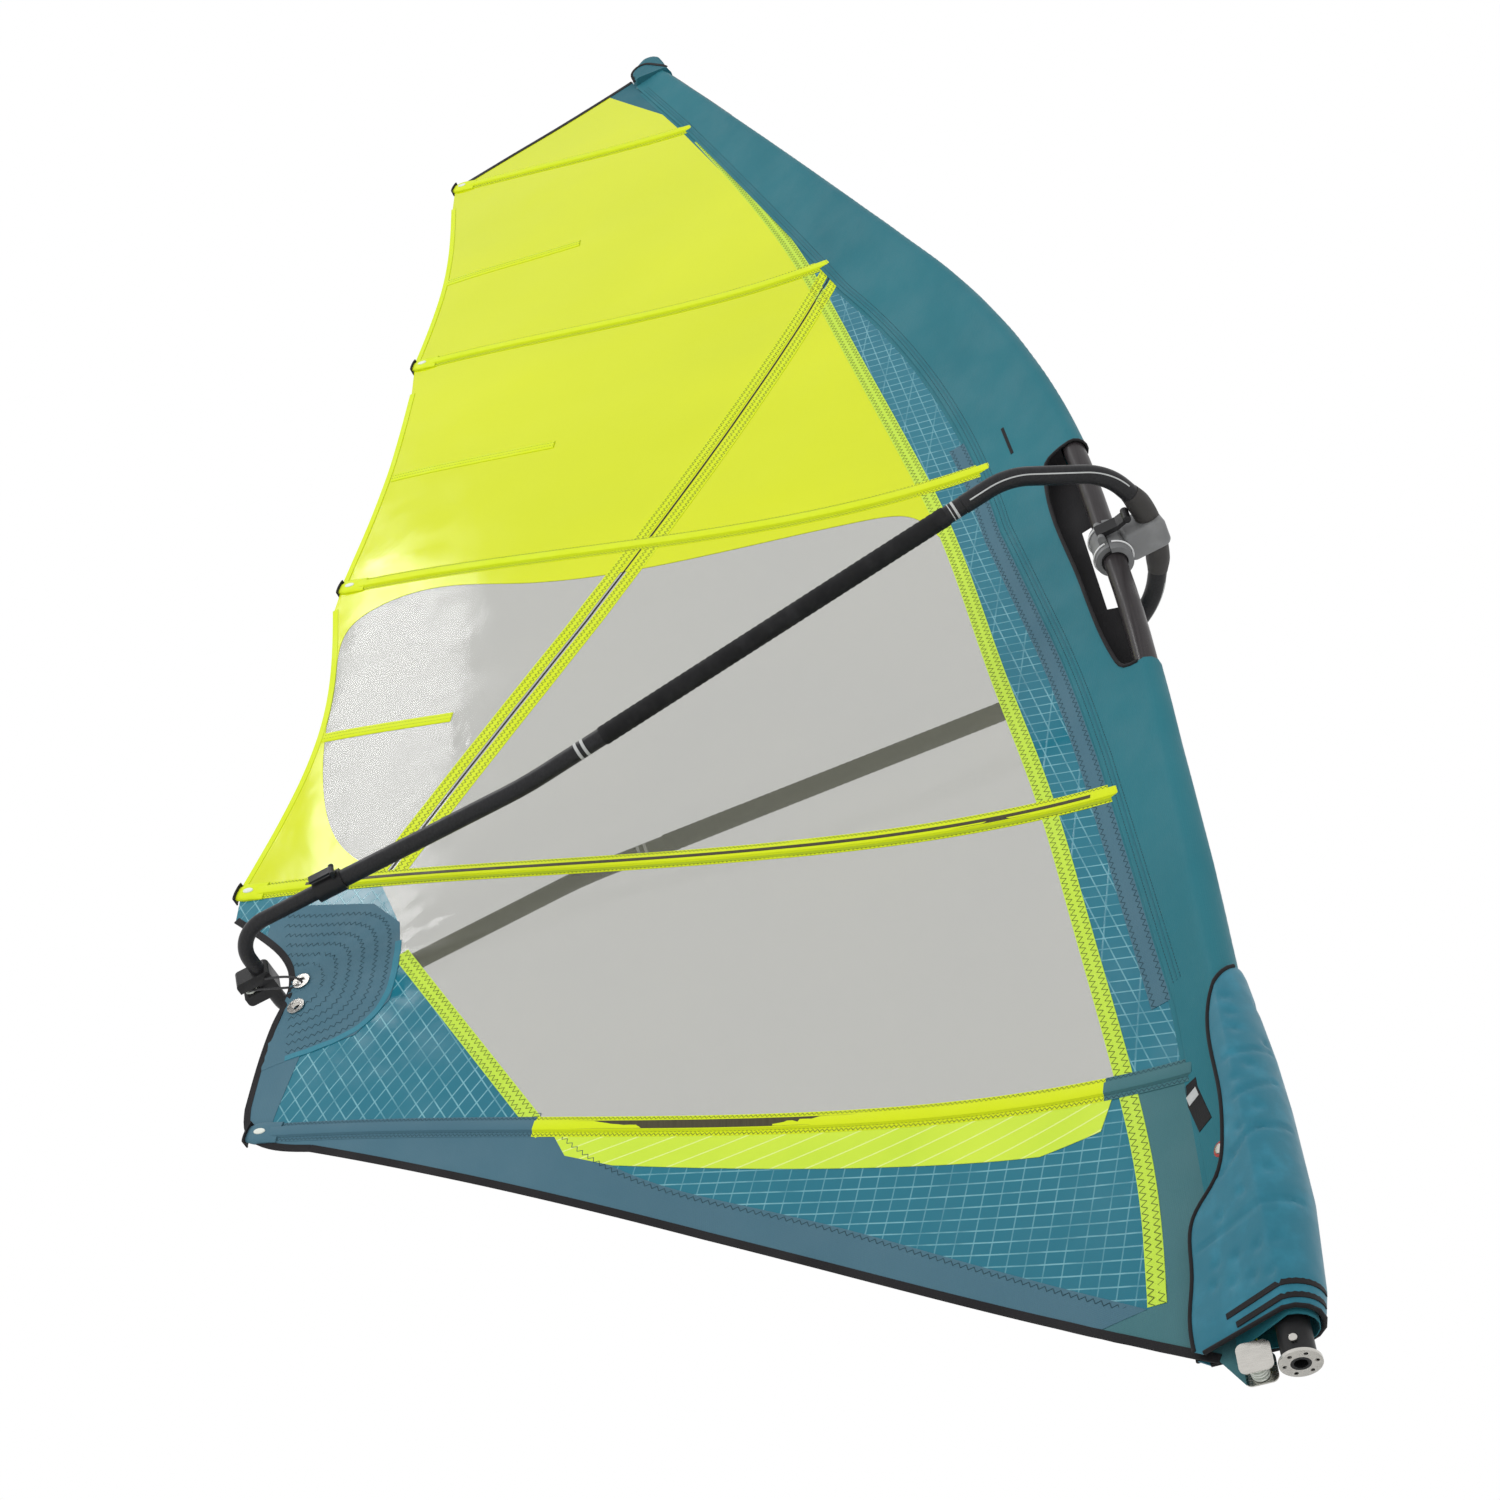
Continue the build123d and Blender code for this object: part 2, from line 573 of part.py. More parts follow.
OVERLAYS = [
    ("edge_bindings", binding_zone),
    ("seam_tapes", tape_zone),
    ("load_strap", strap_zone),
    ("foot_film", foot_film_zone),
]
for name, zone in OVERLAYS:
    with BuildPart() as overlay:
        with BuildSketch(Plane.XZ):
            add(zone.sketch_local)
        extrude(amount=SPAN, both=True)
        add(face_layer, mode=Mode.INTERSECT)
        add(sleeve_outer, mode=Mode.SUBTRACT)
    overlay.part.label = name
    export_step(overlay.part, f"parts/{name}.step")

# ---- mast, extension and base ----------------------------------------------------------------------------------
mast_top = MAST_TIP_Z - PLUG_T

with BuildPart() as mast_lower:
    add(mast_rod(MAST_FOOT_Z, MAST_JOINT_Z, 0))
    add(mast_rod(MAST_FOOT_Z, MAST_JOINT_Z, MAST_WALL), mode=Mode.SUBTRACT)
mast_lower.part.label = "mast_lower"
export_step(mast_lower.part, "parts/mast_lower.step")

with BuildPart() as mast_upper:
    add(mast_rod(MAST_JOINT_Z, mast_top, 0))
    add(mast_rod(MAST_JOINT_Z - FERRULE, MAST_JOINT_Z, MAST_WALL + RUN))
    add(mast_rod(MAST_JOINT_Z - FERRULE, mast_top, 2 * MAST_WALL), mode=Mode.SUBTRACT)
mast_upper.part.label = "mast_upper"
export_step(mast_upper.part, "parts/mast_upper.step")

with BuildPart() as tip_plug:
    add(mast_rod(mast_top, MAST_TIP_Z, 0))
    add(mast_rod(mast_top - PLUG_DEPTH, mast_top, 2 * MAST_WALL + RUN))
tip_plug.part.label = "tip_plug"
export_step(tip_plug.part, "parts/tip_plug.step")

with BuildPart() as head_cap:
    with BuildSketch(Plane.XZ):
        Polygon(*CAP, align=None)
    extrude(amount=CAP_HALF, both=True)
    fillet(head_cap.edges().filter_by(Axis.Y, reverse=True).group_by(Axis.Z)[1:], CAP_ROUND)
    add(mast_rod(SLEEVE_TOP - CAP_ROUND, MAST_TIP_Z, -CAP_CLEAR), mode=Mode.SUBTRACT)
head_cap.part.label = "head_cap"
export_step(head_cap.part, "parts/head_cap.step")

with BuildPart() as mast_extension:
    with BuildSketch(Plane.XY.offset(CUP_TOP - CUP_SOCKET)):
        Circle(MAST_OD / 2 - MAST_WALL - RUN)
        Circle(EXTENSION_BORE, mode=Mode.SUBTRACT)
    extrude(amount=EXTENSION_L)
mast_extension.part.label = "mast_extension"
export_step(mast_extension.part, "parts/mast_extension.step")

with BuildPart() as extension_collar:
    with BuildSketch(Plane.XY.offset(CUP_TOP)):
        Circle(COLLAR_R)
        Circle(MAST_OD / 2 - MAST_WALL, mode=Mode.SUBTRACT)
    extrude(amount=MAST_FOOT_Z - CUP_TOP)
    fillet(extension_collar.edges().filter_by(GeomType.CIRCLE).group_by(SortBy.RADIUS)[-1], COLLAR_ROUND)
extension_collar.part.label = "extension_collar"
export_step(extension_collar.part, "parts/extension_collar.step")

with BuildPart() as base_cup:
    with BuildSketch():
        Circle(CUP_NECK)
    extrude(amount=FLANGE_T)
    with BuildSketch(Plane.XY.offset(FLANGE_T)):
        Circle(CUP_R)
    extrude(amount=CUP_TOP - FLANGE_T)
    with BuildSketch(Plane.XY.offset(CUP_TOP)):
        Circle(MAST_OD / 2 - MAST_WALL - RUN)
    extrude(amount=-CUP_SOCKET, mode=Mode.SUBTRACT)
    with BuildSketch():
        Circle(PIN_BORE_R)
    extrude(amount=PIN_BORE_L, mode=Mode.SUBTRACT)
    with BuildSketch(Plane.XZ.offset(PIN_BORE_R - 1)):
        with Locations((0, BUTTON_Z)):
            Circle(BUTTON_R + RUN)
    extrude(amount=CUP_R, mode=Mode.SUBTRACT)
base_cup.part.label = "base_cup"
export_step(base_cup.part, "parts/base_cup.step")

with BuildPart() as base_flange:
    with BuildSketch():
        Circle(FLANGE_R)
        Circle(CUP_NECK, mode=Mode.SUBTRACT)
        with PolarLocations(FLANGE_PCD, 6):
            Circle(FLANGE_HOLE, mode=Mode.SUBTRACT)
    extrude(amount=FLANGE_T)
base_flange.part.label = "base_flange"
export_step(base_flange.part, "parts/base_flange.step")

with BuildPart() as base_button:
    with BuildSketch(Plane.XZ.offset(PIN_BORE_R + BUTTON_INSET)):
        with Locations((0, BUTTON_Z)):
            Circle(BUTTON_R)
    extrude(amount=CUP_R + BUTTON_GAP - PIN_BORE_R - BUTTON_INSET)
    with BuildSketch(Plane.XZ.offset(CUP_R + BUTTON_GAP)):
        with Locations((0, BUTTON_Z)):
            Circle(BUTTON_HEAD)
    extrude(amount=BUTTON_CAP)
    fillet(base_button.edges().group_by(Axis.Y)[0], BUTTON_ROUND)
base_button.part.label = "base_button"
export_step(base_button.part, "parts/base_button.step")

# ---- tack: padded fairing, webbing, pulley block --------------------------------------------------------------
with BuildPart() as fairing_form:
    for z, r in FAIRING_SECTIONS:
        y = draft(FAIRING_AFT, z)
        with BuildSketch(Plane.XY.offset(z)):
            with BuildLine():
                ThreePointArc((0, r), (r, 0), (0, -r))
                Polyline((0, -r), (FAIRING_AFT, y - FAIRING_LIP), (FAIRING_AFT, y + FAIRING_LIP), (0, r))
            make_face()
    loft()

with BuildPart() as cloth_gap:
    with BuildSketch(Plane.XZ):
        with Locations((FAIRING_SPLIT - FAR / 2, 0)):
            Rectangle(FAR, FAR)
    extrude(amount=SPAN, both=True)
    add(cloth_layer(-TAPE - FAIRING_GAP, CLOTH + FAIRING_GAP), mode=Mode.INTERSECT)

with BuildPart() as tack_fairing:
    add(fairing_form.part)
    with BuildSketch(Plane.XZ):
        with BuildLine():
            aft = Spline(*FAIRING_EDGE)
            Polyline(aft @ 1, (SPAN, FAIRING_EDGE[-1][1]), (SPAN, FAIRING_EDGE[0][1]), aft @ 0)
        make_face()
    extrude(amount=SPAN, both=True, mode=Mode.INTERSECT)
    add(sleeve_form(-FAIRING_GAP, SEAM_HALF + FAIRING_GAP, -SEAM_HALF - FAIRING_GAP), mode=Mode.SUBTRACT)
    add(cloth_gap.part, mode=Mode.SUBTRACT)
tack_fairing.part.label = "tack_fairing"
export_step(tack_fairing.part, "parts/tack_fairing.step")

BLOCK_FRONT = Plane((TACK_X, TACK_Y, 0), x_dir=(1, 0, 0), z_dir=(0, -1, 0))

with BuildPart() as tack_block:
    for side in (-1, 1):
        with BuildSketch(BLOCK_FRONT.offset(side * CHEEK_Y - CHEEK_T / 2)):
            with Locations((0, BLOCK_Z)):
                RectangleRounded(CHEEK_W, CHEEK_H, CHEEK_ROUND)
        extrude(amount=CHEEK_T)
    for z in (AXLE_Z, BAR_Z):
        with BuildSketch(BLOCK_FRONT.offset(-CHEEK_Y)):
            with Locations((0, z)):
                Circle(AXLE_R)
        extrude(amount=2 * CHEEK_Y)
tack_block.part.label = "tack_block"
export_step(tack_block.part, "parts/tack_block.step")

for number, side in ((1, -1), (2, 1)):
    with BuildPart() as tack_sheave:
        with BuildSketch(Plane((TACK_X, TACK_Y + side * SHEAVE_Y, AXLE_Z), x_dir=(1, 0, 0), z_dir=(0, -1, 0))):
            Circle(SHEAVE_R)
            Circle(AXLE_R + RUN, mode=Mode.SUBTRACT)
        extrude(amount=SHEAVE_W / 2, both=True)
        with BuildSketch(Plane.XZ.offset(-TACK_Y - side * SHEAVE_Y)):
            with Locations((TACK_X, AXLE_Z)):
                Circle(SHEAVE_R + 1)
                Circle(SHEAVE_R - GROOVE, mode=Mode.SUBTRACT)
        extrude(amount=GROOVE / 2, both=True, mode=Mode.SUBTRACT)
    tack_sheave.part.label = f"tack_sheave_{number}"
    export_step(tack_sheave.part, f"parts/tack_sheave_{number}.step")

with BuildPart() as tack_webbing:
    with BuildSketch(BLOCK_FRONT.offset(-WEB_W / 2)):
        with Locations((0, BAR_Z)):
            Circle(AXLE_R + WEB_T)
            Circle(AXLE_R + RUN, mode=Mode.SUBTRACT)
    extrude(amount=WEB_W)
    with BuildSketch(Plane((TACK_X, TACK_Y, BAR_Z + AXLE_R + WEB_T / 2))):
        Rectangle(WEB_T, WEB_W)
    extrude(amount=WEB_TOP - BAR_Z)
tack_webbing.part.label = "tack_webbing"
export_step(tack_webbing.part, "parts/tack_webbing.step")

# ---- boom: bow, arms, grips ---------------------------------------------------------------------------------------
boom_x, clamp_lean = mast_at(BOOM_Z)
droop = radians(BOOM_DROOP)
BOOM = Plane((boom_x, 0, BOOM_Z), x_dir=(cos(droop), 0, sin(droop)), z_dir=(-sin(droop), 0, cos(droop)))
CLAMP = Plane((boom_x, 0, BOOM_Z), x_dir=(cos(clamp_lean), 0, sin(clamp_lean)),
              z_dir=(-sin(clamp_lean), 0, cos(clamp_lean)))


def on_boom(points):
    """Boom plane points, forward and to port of the mast axis, as places in the rig."""
    return [BOOM.from_local_coords(Vector(x, y, 0)) for x, y in points]


def tube(path, outer, inner):
    """Tube along a path, or a solid rod when inner is 0."""
    with BuildPart() as form:
        with BuildSketch(Plane(origin=path @ 0, z_dir=path % 0)):
            Circle(outer / 2)
            if inner:
                Circle(inner / 2, mode=Mode.SUBTRACT)
        sweep(path=path)
    return form.part


bow_half = [(ARM_FRONT + BUTT, BOOM_WIDE), (-110, BOOM_WIDE + 9.5), (35, 135), (BOOM_NOSE, 50)]
bow_points = bow_half + [(x, -y) for x, y in reversed(bow_half)]
with BuildLine() as bow_line:
    FilletPolyline(*on_boom(bow_points), radius=[110, 120, 190, 190, 120, 110])

with BuildPart() as front_bow:
    add(tube(bow_line.wire(), BOW_OD, BOOM_ID))
front_bow.part.label = "front_bow"
export_step(front_bow.part, "parts/front_bow.step")

for name, side in (("arm_port", 1), ("arm_starboard", -1)):
    points = [(ARM_FRONT, side * BOOM_WIDE), (ARM_BEND, side * BOOM_TAIL_W), (ARM_REAR, side * BOOM_TAIL_W)]
    with BuildLine() as arm_line:
        FilletPolyline(*on_boom(points), radius=ARM_BEND_R)
    with BuildPart() as arm:
        add(tube(arm_line.wire(), BOOM_OD, BOOM_ID))
    arm.part.label = name
    export_step(arm.part, f"parts/{name}.step")

with BuildPart() as grips:
    for side in (-1, 1):
        front, rear = (ARM_FRONT, side * BOOM_WIDE), (ARM_BEND, side * BOOM_TAIL_W)
        with BuildLine() as grip_line:
            Line(*on_boom([toward(front, rear, GRIP_START), toward(front, rear, GRIP_START + GRIP_L)]))
        add(tube(grip_line.line, GRIP_OD, BOOM_OD))
grips.part.label = "grips"
export_step(grips.part, "parts/grips.step")

# ---- boom tail: telescopic loop, collars, lever clips, pulley fitting -------------------------------------------------
loop_points = [(TAIL_INNER, BOOM_TAIL_W), (TAIL_END, BOOM_TAIL_W), (TAIL_END, -BOOM_TAIL_W), (TAIL_INNER, -BOOM_TAIL_W)]
with BuildLine() as loop_line:
    FilletPolyline(*on_boom(loop_points), radius=LOOP_R)

with BuildPart() as tail_loop:
    add(tube(loop_line.wire(), TAIL_OD, TAIL_OD - 2 * TAIL_WALL))
tail_loop.part.label = "tail_loop"
export_step(tail_loop.part, "parts/tail_loop.step")

with BuildPart() as arm_collars:
    for side in (-1, 1):
        start = BOOM.from_local_coords(Vector(ARM_REAR - COLLAR_LIP, side * BOOM_TAIL_W, 0))
        with BuildSketch(Plane(start, x_dir=(0, 1, 0), z_dir=BOOM.x_dir)):
            Circle(COLLAR_OD / 2)
            Circle(BOOM_OD / 2, mode=Mode.SUBTRACT)
        extrude(amount=COLLAR_L + COLLAR_LIP)
        with BuildSketch(Plane(start, x_dir=(0, 1, 0), z_dir=BOOM.x_dir)):
            Circle(BOOM_OD / 2)
            Circle(TAIL_OD / 2 + RUN, mode=Mode.SUBTRACT)
        extrude(amount=COLLAR_LIP)
        pivot_y = side * (BOOM_TAIL_W + PIVOT_OUT)
        for low in (-EAR_TOP, EAR_GAP):
            with BuildSketch(BOOM.offset(low)):
                with Locations((PIVOT_X - EAR_R / 2, pivot_y - side * EAR_R)):
                    Rectangle(EAR_R, 2 * EAR_R)
                with Locations((PIVOT_X, pivot_y)):
                    Circle(EAR_R)
            extrude(amount=EAR_TOP - EAR_GAP)
        with BuildSketch(BOOM.offset(-EAR_TOP)):
            with Locations((PIVOT_X, pivot_y)):
                Circle(CLIP_PIN_R)
        extrude(amount=2 * EAR_TOP)
    for side in (-1, 1):
        start = BOOM.from_local_coords(Vector(ARM_REAR, side * BOOM_TAIL_W, 0))
        with BuildSketch(Plane(start, x_dir=(0, 1, 0), z_dir=BOOM.x_dir)):
            Circle(BOOM_OD / 2)
        extrude(amount=COLLAR_L + 4 * EAR_R, mode=Mode.SUBTRACT)
arm_collars.part.label = "arm_collars"
export_step(arm_collars.part, "parts/arm_collars.step")

for name, side in (("tail_clip_port", 1), ("tail_clip_starboard", -1)):
    pivot_y = side * (BOOM_TAIL_W + PIVOT_OUT)
    with BuildPart() as tail_clip:
        with BuildSketch(BOOM.offset(-EAR_GAP + CLIP_SIDE)):
            with Locations((PIVOT_X - CLIP_L / 2, pivot_y + side * CLIP_RISE)):
                Rectangle(CLIP_L, CLIP_T)
            with Locations((PIVOT_X, pivot_y)):
                Circle(EAR_R - KNUCKLE_INSET)
                Circle(CLIP_PIN_R + RUN, mode=Mode.SUBTRACT)
        extrude(amount=2 * (EAR_GAP - CLIP_SIDE))
    tail_clip.part.label = name
    export_step(tail_clip.part, f"parts/{name}.step")

with BuildPart() as tail_fitting:
    with BuildSketch(BOOM.offset(-FIT_H / 2)):
        with Locations(((FIT_FRONT + FIT_REAR) / 2, 0)):
            RectangleRounded(FIT_FRONT - FIT_REAR, FIT_W, FIT_ROUND)
    extrude(amount=FIT_H)
    with BuildSketch(BOOM.offset(-FIT_H / 2)):
        with Locations(((SLOT_FRONT + FIT_REAR - FIT_ROUND) / 2, 0)):
            Rectangle(SLOT_FRONT - FIT_REAR + FIT_ROUND, SLOT_W)
    extrude(amount=FIT_H, mode=Mode.SUBTRACT)
    with BuildLine() as cross:
        Line(*on_boom([(TAIL_END, -FIT_W), (TAIL_END, FIT_W)]))
    add(tube(cross.line, TAIL_OD, 0), mode=Mode.SUBTRACT)
    with BuildLine() as axle:
        Line(*on_boom([(TAIL_SHEAVE_X, -FIT_W / 3), (TAIL_SHEAVE_X, FIT_W / 3)]))
    add(tube(axle.line, 2 * AXLE_R, 0))
tail_fitting.part.label = "tail_fitting"
export_step(tail_fitting.part, "parts/tail_fitting.step")

sheave_plane = Plane(BOOM.from_local_coords(Vector(TAIL_SHEAVE_X, 0, 0)), x_dir=BOOM.x_dir, z_dir=(0, 1, 0))
with BuildPart() as tail_sheave:
    with BuildSketch(sheave_plane):
        Circle(TAIL_SHEAVE_R)
        Circle(AXLE_R + RUN, mode=Mode.SUBTRACT)
    extrude(amount=SLOT_W / 2 - SHEAVE_SIDE, both=True)
    with BuildSketch(sheave_plane):
        Circle(TAIL_SHEAVE_R + 1)
        Circle(TAIL_SHEAVE_R - TAIL_GROOVE, mode=Mode.SUBTRACT)
    extrude(amount=LINE_D / 2 + SHEAVE_SIDE, both=True, mode=Mode.SUBTRACT)
tail_sheave.part.label = "tail_sheave"
export_step(tail_sheave.part, "parts/tail_sheave.step")

# ---- boom head: saddle, split ring, jaw, lever ---------------------------------------------------------------------------
def half_ring(outer, inner, height, side):
    """Half a tube round the mast, forward of it for side 1 and aft for side -1."""
    with BuildPart() as ring:
        with BuildSketch(CLAMP.offset(-height / 2)):
            Circle(outer)
            Circle(inner, mode=Mode.SUBTRACT)
            with Locations((-side * (outer - SPLIT_GAP), 0)):
                Rectangle(2 * outer, 2 * outer + 2, mode=Mode.SUBTRACT)
        extrude(amount=height)
    return ring.part


with BuildPart() as mast_liner:
    with BuildSketch(CLAMP.offset(-LINER_H / 2)):
        Circle(LINER_R)
        Circle(MAST_OD / 2 + RUN, mode=Mode.SUBTRACT)
    extrude(amount=LINER_H)
mast_liner.part.label = "mast_liner"
export_step(mast_liner.part, "parts/mast_liner.step")

with BuildPart() as boom_head:
    with BuildSketch(BOOM.offset(-SADDLE_H / 2)):
        with Locations((SADDLE_X, 0)):
            RectangleRounded(SADDLE_L, SADDLE_W, SADDLE_ROUND)
    extrude(amount=SADDLE_H)
    fillet(boom_head.edges().filter_by(Axis.Y), HEAD_ROUND)
    with BuildSketch(CLAMP.offset(-HEAD_H / 2)):
        Circle(RING_R)
    extrude(amount=HEAD_H)
    with BuildSketch(CLAMP.offset(-HEAD_H / 2)):
        with Locations((SPLIT_GAP - 2 * RING_R, 0)):
            Rectangle(4 * RING_R, 6 * RING_R)
    extrude(amount=HEAD_H, mode=Mode.SUBTRACT)
    for low in (-KNUCKLE_TOP, KNUCKLE_GAP):
        with BuildSketch(CLAMP.offset(low)):
            with Locations((0, PIN_Y)):
                Circle(KNUCKLE_R)
            with Locations((KNUCKLE_R / 2 + 1, PIN_Y - KNUCKLE_R)):
                Rectangle(KNUCKLE_R + 2, 2 * KNUCKLE_R)
        extrude(amount=KNUCKLE_TOP - KNUCKLE_GAP)
    with BuildSketch(CLAMP.offset(-HEAD_H)):
        Circle(LINER_R + RUN)
    extrude(amount=2 * HEAD_H, mode=Mode.SUBTRACT)
    with BuildSketch(CLAMP.offset(-HEAD_H)):
        with Locations((0, PIN_Y)):
            Circle(PIN_R)
    extrude(amount=2 * HEAD_H, mode=Mode.SUBTRACT)
    add(tube(bow_line.wire(), BOW_OD, 0), mode=Mode.SUBTRACT)
boom_head.part.label = "boom_head"
export_step(boom_head.part, "parts/boom_head.step")

with BuildPart() as jaw_pin:
    with BuildSketch(CLAMP.offset(-KNUCKLE_TOP - PIN_OVER)):
        with Locations((0, PIN_Y)):
            Circle(PIN_R)
    extrude(amount=2 * (KNUCKLE_TOP + PIN_OVER))
jaw_pin.part.label = "jaw_pin"
export_step(jaw_pin.part, "parts/jaw_pin.step")

with BuildPart() as clamp_jaw:
    add(half_ring(RING_R, LINER_R + RUN, JAW_H, -1))
    with BuildSketch(CLAMP.offset(-KNUCKLE_GAP + CLIP_SIDE)):
        with Locations((0, PIN_Y)):
            Circle(KNUCKLE_R - KNUCKLE_INSET)
        with Locations((-KNUCKLE_R / 2 - 1, PIN_Y - KNUCKLE_R)):
            Rectangle(KNUCKLE_R + 2 - SPLIT_GAP, 2 * KNUCKLE_R)
    extrude(amount=2 * (KNUCKLE_GAP - CLIP_SIDE))
    with BuildSketch(CLAMP.offset(-KNUCKLE_GAP)):
        with Locations((0, PIN_Y)):
            Circle(PIN_R + RUN)
    extrude(amount=2 * KNUCKLE_GAP, mode=Mode.SUBTRACT)
    for low in (-LUG_TOP, LUG_GAP):
        with BuildSketch(CLAMP.offset(low)):
            with Locations((LEVER_X, -LEVER_Y + LUG_R)):
                Rectangle(2 * LUG_R, 2 * LUG_R)
            with Locations((LEVER_X, -LEVER_Y)):
                Circle(LUG_R)
        extrude(amount=LUG_TOP - LUG_GAP)
    with BuildSketch(CLAMP.offset(-LUG_TOP)):
        with Locations((LEVER_X, -LEVER_Y)):
            Circle(LEVER_PIN_R)
    extrude(amount=2 * LUG_TOP)
    with BuildSketch(CLAMP.offset(-HEAD_H)):
        Circle(LINER_R + RUN)
    extrude(amount=2 * HEAD_H, mode=Mode.SUBTRACT)
clamp_jaw.part.label = "clamp_jaw"
export_step(clamp_jaw.part, "parts/clamp_jaw.step")

with BuildPart() as clamp_lever:
    with BuildSketch(CLAMP.offset(-LUG_GAP + CLIP_SIDE)):
        with BuildLine():
            Polyline(*[(LEVER_X + x, -LEVER_Y + y) for x, y in LEVER_OUTLINE], close=True)
        make_face()
        with Locations((LEVER_X, -LEVER_Y)):
            Circle(LEVER_PIN_R + RUN, mode=Mode.SUBTRACT)
    extrude(amount=2 * (LUG_GAP - CLIP_SIDE))
clamp_lever.part.label = "clamp_lever"
export_step(clamp_lever.part, "parts/clamp_lever.step")

# ---- outhaul line: becket, through the clew grommet, round the sheave, to the cleat ----------------------------------------
line_points = [BOOM.from_local_coords(Vector(*point)) for point in LINE_ROUTE]
line_radii = []
for before, corner, after in zip(line_points, line_points[1:], line_points[2:]):
    turn = radians((corner - before).get_angle(after - corner))
    reach = LINE_REACH * min((corner - before).length, (after - corner).length)
    line_radii.append(reach / tan(turn / 2))
print("outhaul radii", [round(r, 1) for r in line_radii])

with BuildLine() as line_path:
    FilletPolyline(*line_points, radius=line_radii)
with BuildPart() as outhaul_line:
    add(tube(line_path.wire(), LINE_D, 0))
outhaul_line.part.label = "outhaul_line"
export_step(outhaul_line.part, "parts/outhaul_line.step")
tube_volume = line_path.wire().length * pi * LINE_D ** 2 / 4
print("outhaul length", round(line_path.wire().length, 1), "volume share", outhaul_line.part.volume / tube_volume)
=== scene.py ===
"""Looks of the windsurf sail rig: film, cloth, seams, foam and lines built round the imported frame.

Metres. +Z runs up the lower mast, +X points forward and +Y is port, so the sail plane is X, Z.
"""
from math import acos, asin, cos, hypot, pi, radians, sin, tan

import bpy
import numpy as np
from mathutils import Matrix, Vector, noise
from mathutils.geometry import delaunay_2d_cdt
from mathutils.kdtree import KDTree


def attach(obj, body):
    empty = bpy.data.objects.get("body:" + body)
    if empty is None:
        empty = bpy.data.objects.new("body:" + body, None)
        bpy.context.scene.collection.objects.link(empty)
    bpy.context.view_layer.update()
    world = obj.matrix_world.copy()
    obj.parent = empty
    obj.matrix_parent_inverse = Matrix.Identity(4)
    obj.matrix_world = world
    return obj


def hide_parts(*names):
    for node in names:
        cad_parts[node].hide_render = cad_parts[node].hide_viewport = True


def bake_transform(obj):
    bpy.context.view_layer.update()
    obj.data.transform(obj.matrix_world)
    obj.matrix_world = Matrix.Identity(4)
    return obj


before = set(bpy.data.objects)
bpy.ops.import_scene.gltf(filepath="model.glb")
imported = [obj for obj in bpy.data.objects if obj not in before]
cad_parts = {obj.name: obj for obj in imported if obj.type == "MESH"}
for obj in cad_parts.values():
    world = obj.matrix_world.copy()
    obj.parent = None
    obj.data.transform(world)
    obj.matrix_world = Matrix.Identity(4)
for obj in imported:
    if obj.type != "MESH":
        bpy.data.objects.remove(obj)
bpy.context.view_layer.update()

# ---- driving dimensions, as the frame has them
# mast: stretches as bottom, top, lean at the bottom and lean at the top in degrees
MAST_R, MAST_TIP_R = 0.01825, 0.011
MAST_JOINT_Z, MAST_TIP_Z = 2.010, 4.020
STRETCHES = [(0, 1.2, 0, 0), (1.2, 1.45, 0, 4), (1.45, 1.7, 4, 4), (1.7, 2.65, 4, 23),
             (2.65, 4.02, 23, 24.5)]
# camber: height, depth of the cloth to port, X of the leech
SECTIONS = [
    (-0.06, 0.060, -1.480),
    (0.45, 0.075, -1.480),
    (1.15, 0.055, -1.500),
    (1.90, 0.060, -1.500),
    (2.85, 0.032, -1.410),
    (3.65, 0.008, -1.375),
    (4.13, 0.001, -1.375),
]
# distance of the sleeve's aft seam from the mast axis, by height
SEAM_GAP = [(0, 0.066), (0.58, 0.058), (1.1, 0.096), (1.75, 0.160), (2.7, 0.156), (3.65, 0.084),
            (4.1, 0.060)]
BATTENS = [
    ((-0.752, 3.634), (-1.375, 3.786)),
    ((-0.412, 2.812), (-1.405, 2.987)),
    ((-0.205, 1.943), (-1.487, 2.217)),
    ((-0.073, 1.019), (-1.579, 1.393)),
    ((-0.066, 0.476), (-1.467, 0.820)),
]
MINI_BATTENS = [
    ((-1.028, 3.298), (-1.362, 3.320)),
    ((-1.053, 2.502), (-1.420, 2.561)),
    ((-1.209, 1.710), (-1.473, 1.757)),
]
LUFF_TAPE = [(-0.154, 0.150), (-0.142, 0.306), (-0.147, 0.507), (-0.170, 0.811), (-0.192, 1.070),
             (-0.234, 1.379), (-0.292, 1.828), (-0.347, 2.109), (-0.431, 2.494), (-0.517, 2.875),
             (-0.735, 3.563)]
HEAD_AFT = (-0.914, 4.003)
FOOT = [(-1.357, 0.757), (-0.670, 0.408), (-0.092, 0.044)]
NOTCH = [(-1.575, 1.325), (-1.497, 1.240), (-1.462, 1.192), (-1.442, 1.117), (-1.453, 1.072),
         (-1.481, 0.875)]
CLEW_CORNER = [(-1.481, 0.875), (-1.472, 0.826), (-1.425, 0.782), (-1.357, 0.757)]
CLEW_TAPE = ((-1.246, 1.130), (-0.985, 0.690))
STRAP = ((-0.443, 2.790), (-1.300, 1.318))
GROMMETS = [(-1.421, 1.127), (-1.423, 1.072)]
CUTOUT = [(-0.010, 1.247), (-0.030, 1.253), (-0.045, 1.285), (-0.077, 1.528), (-0.098, 1.815),
          (-0.088, 1.848), (-0.061, 1.858)]
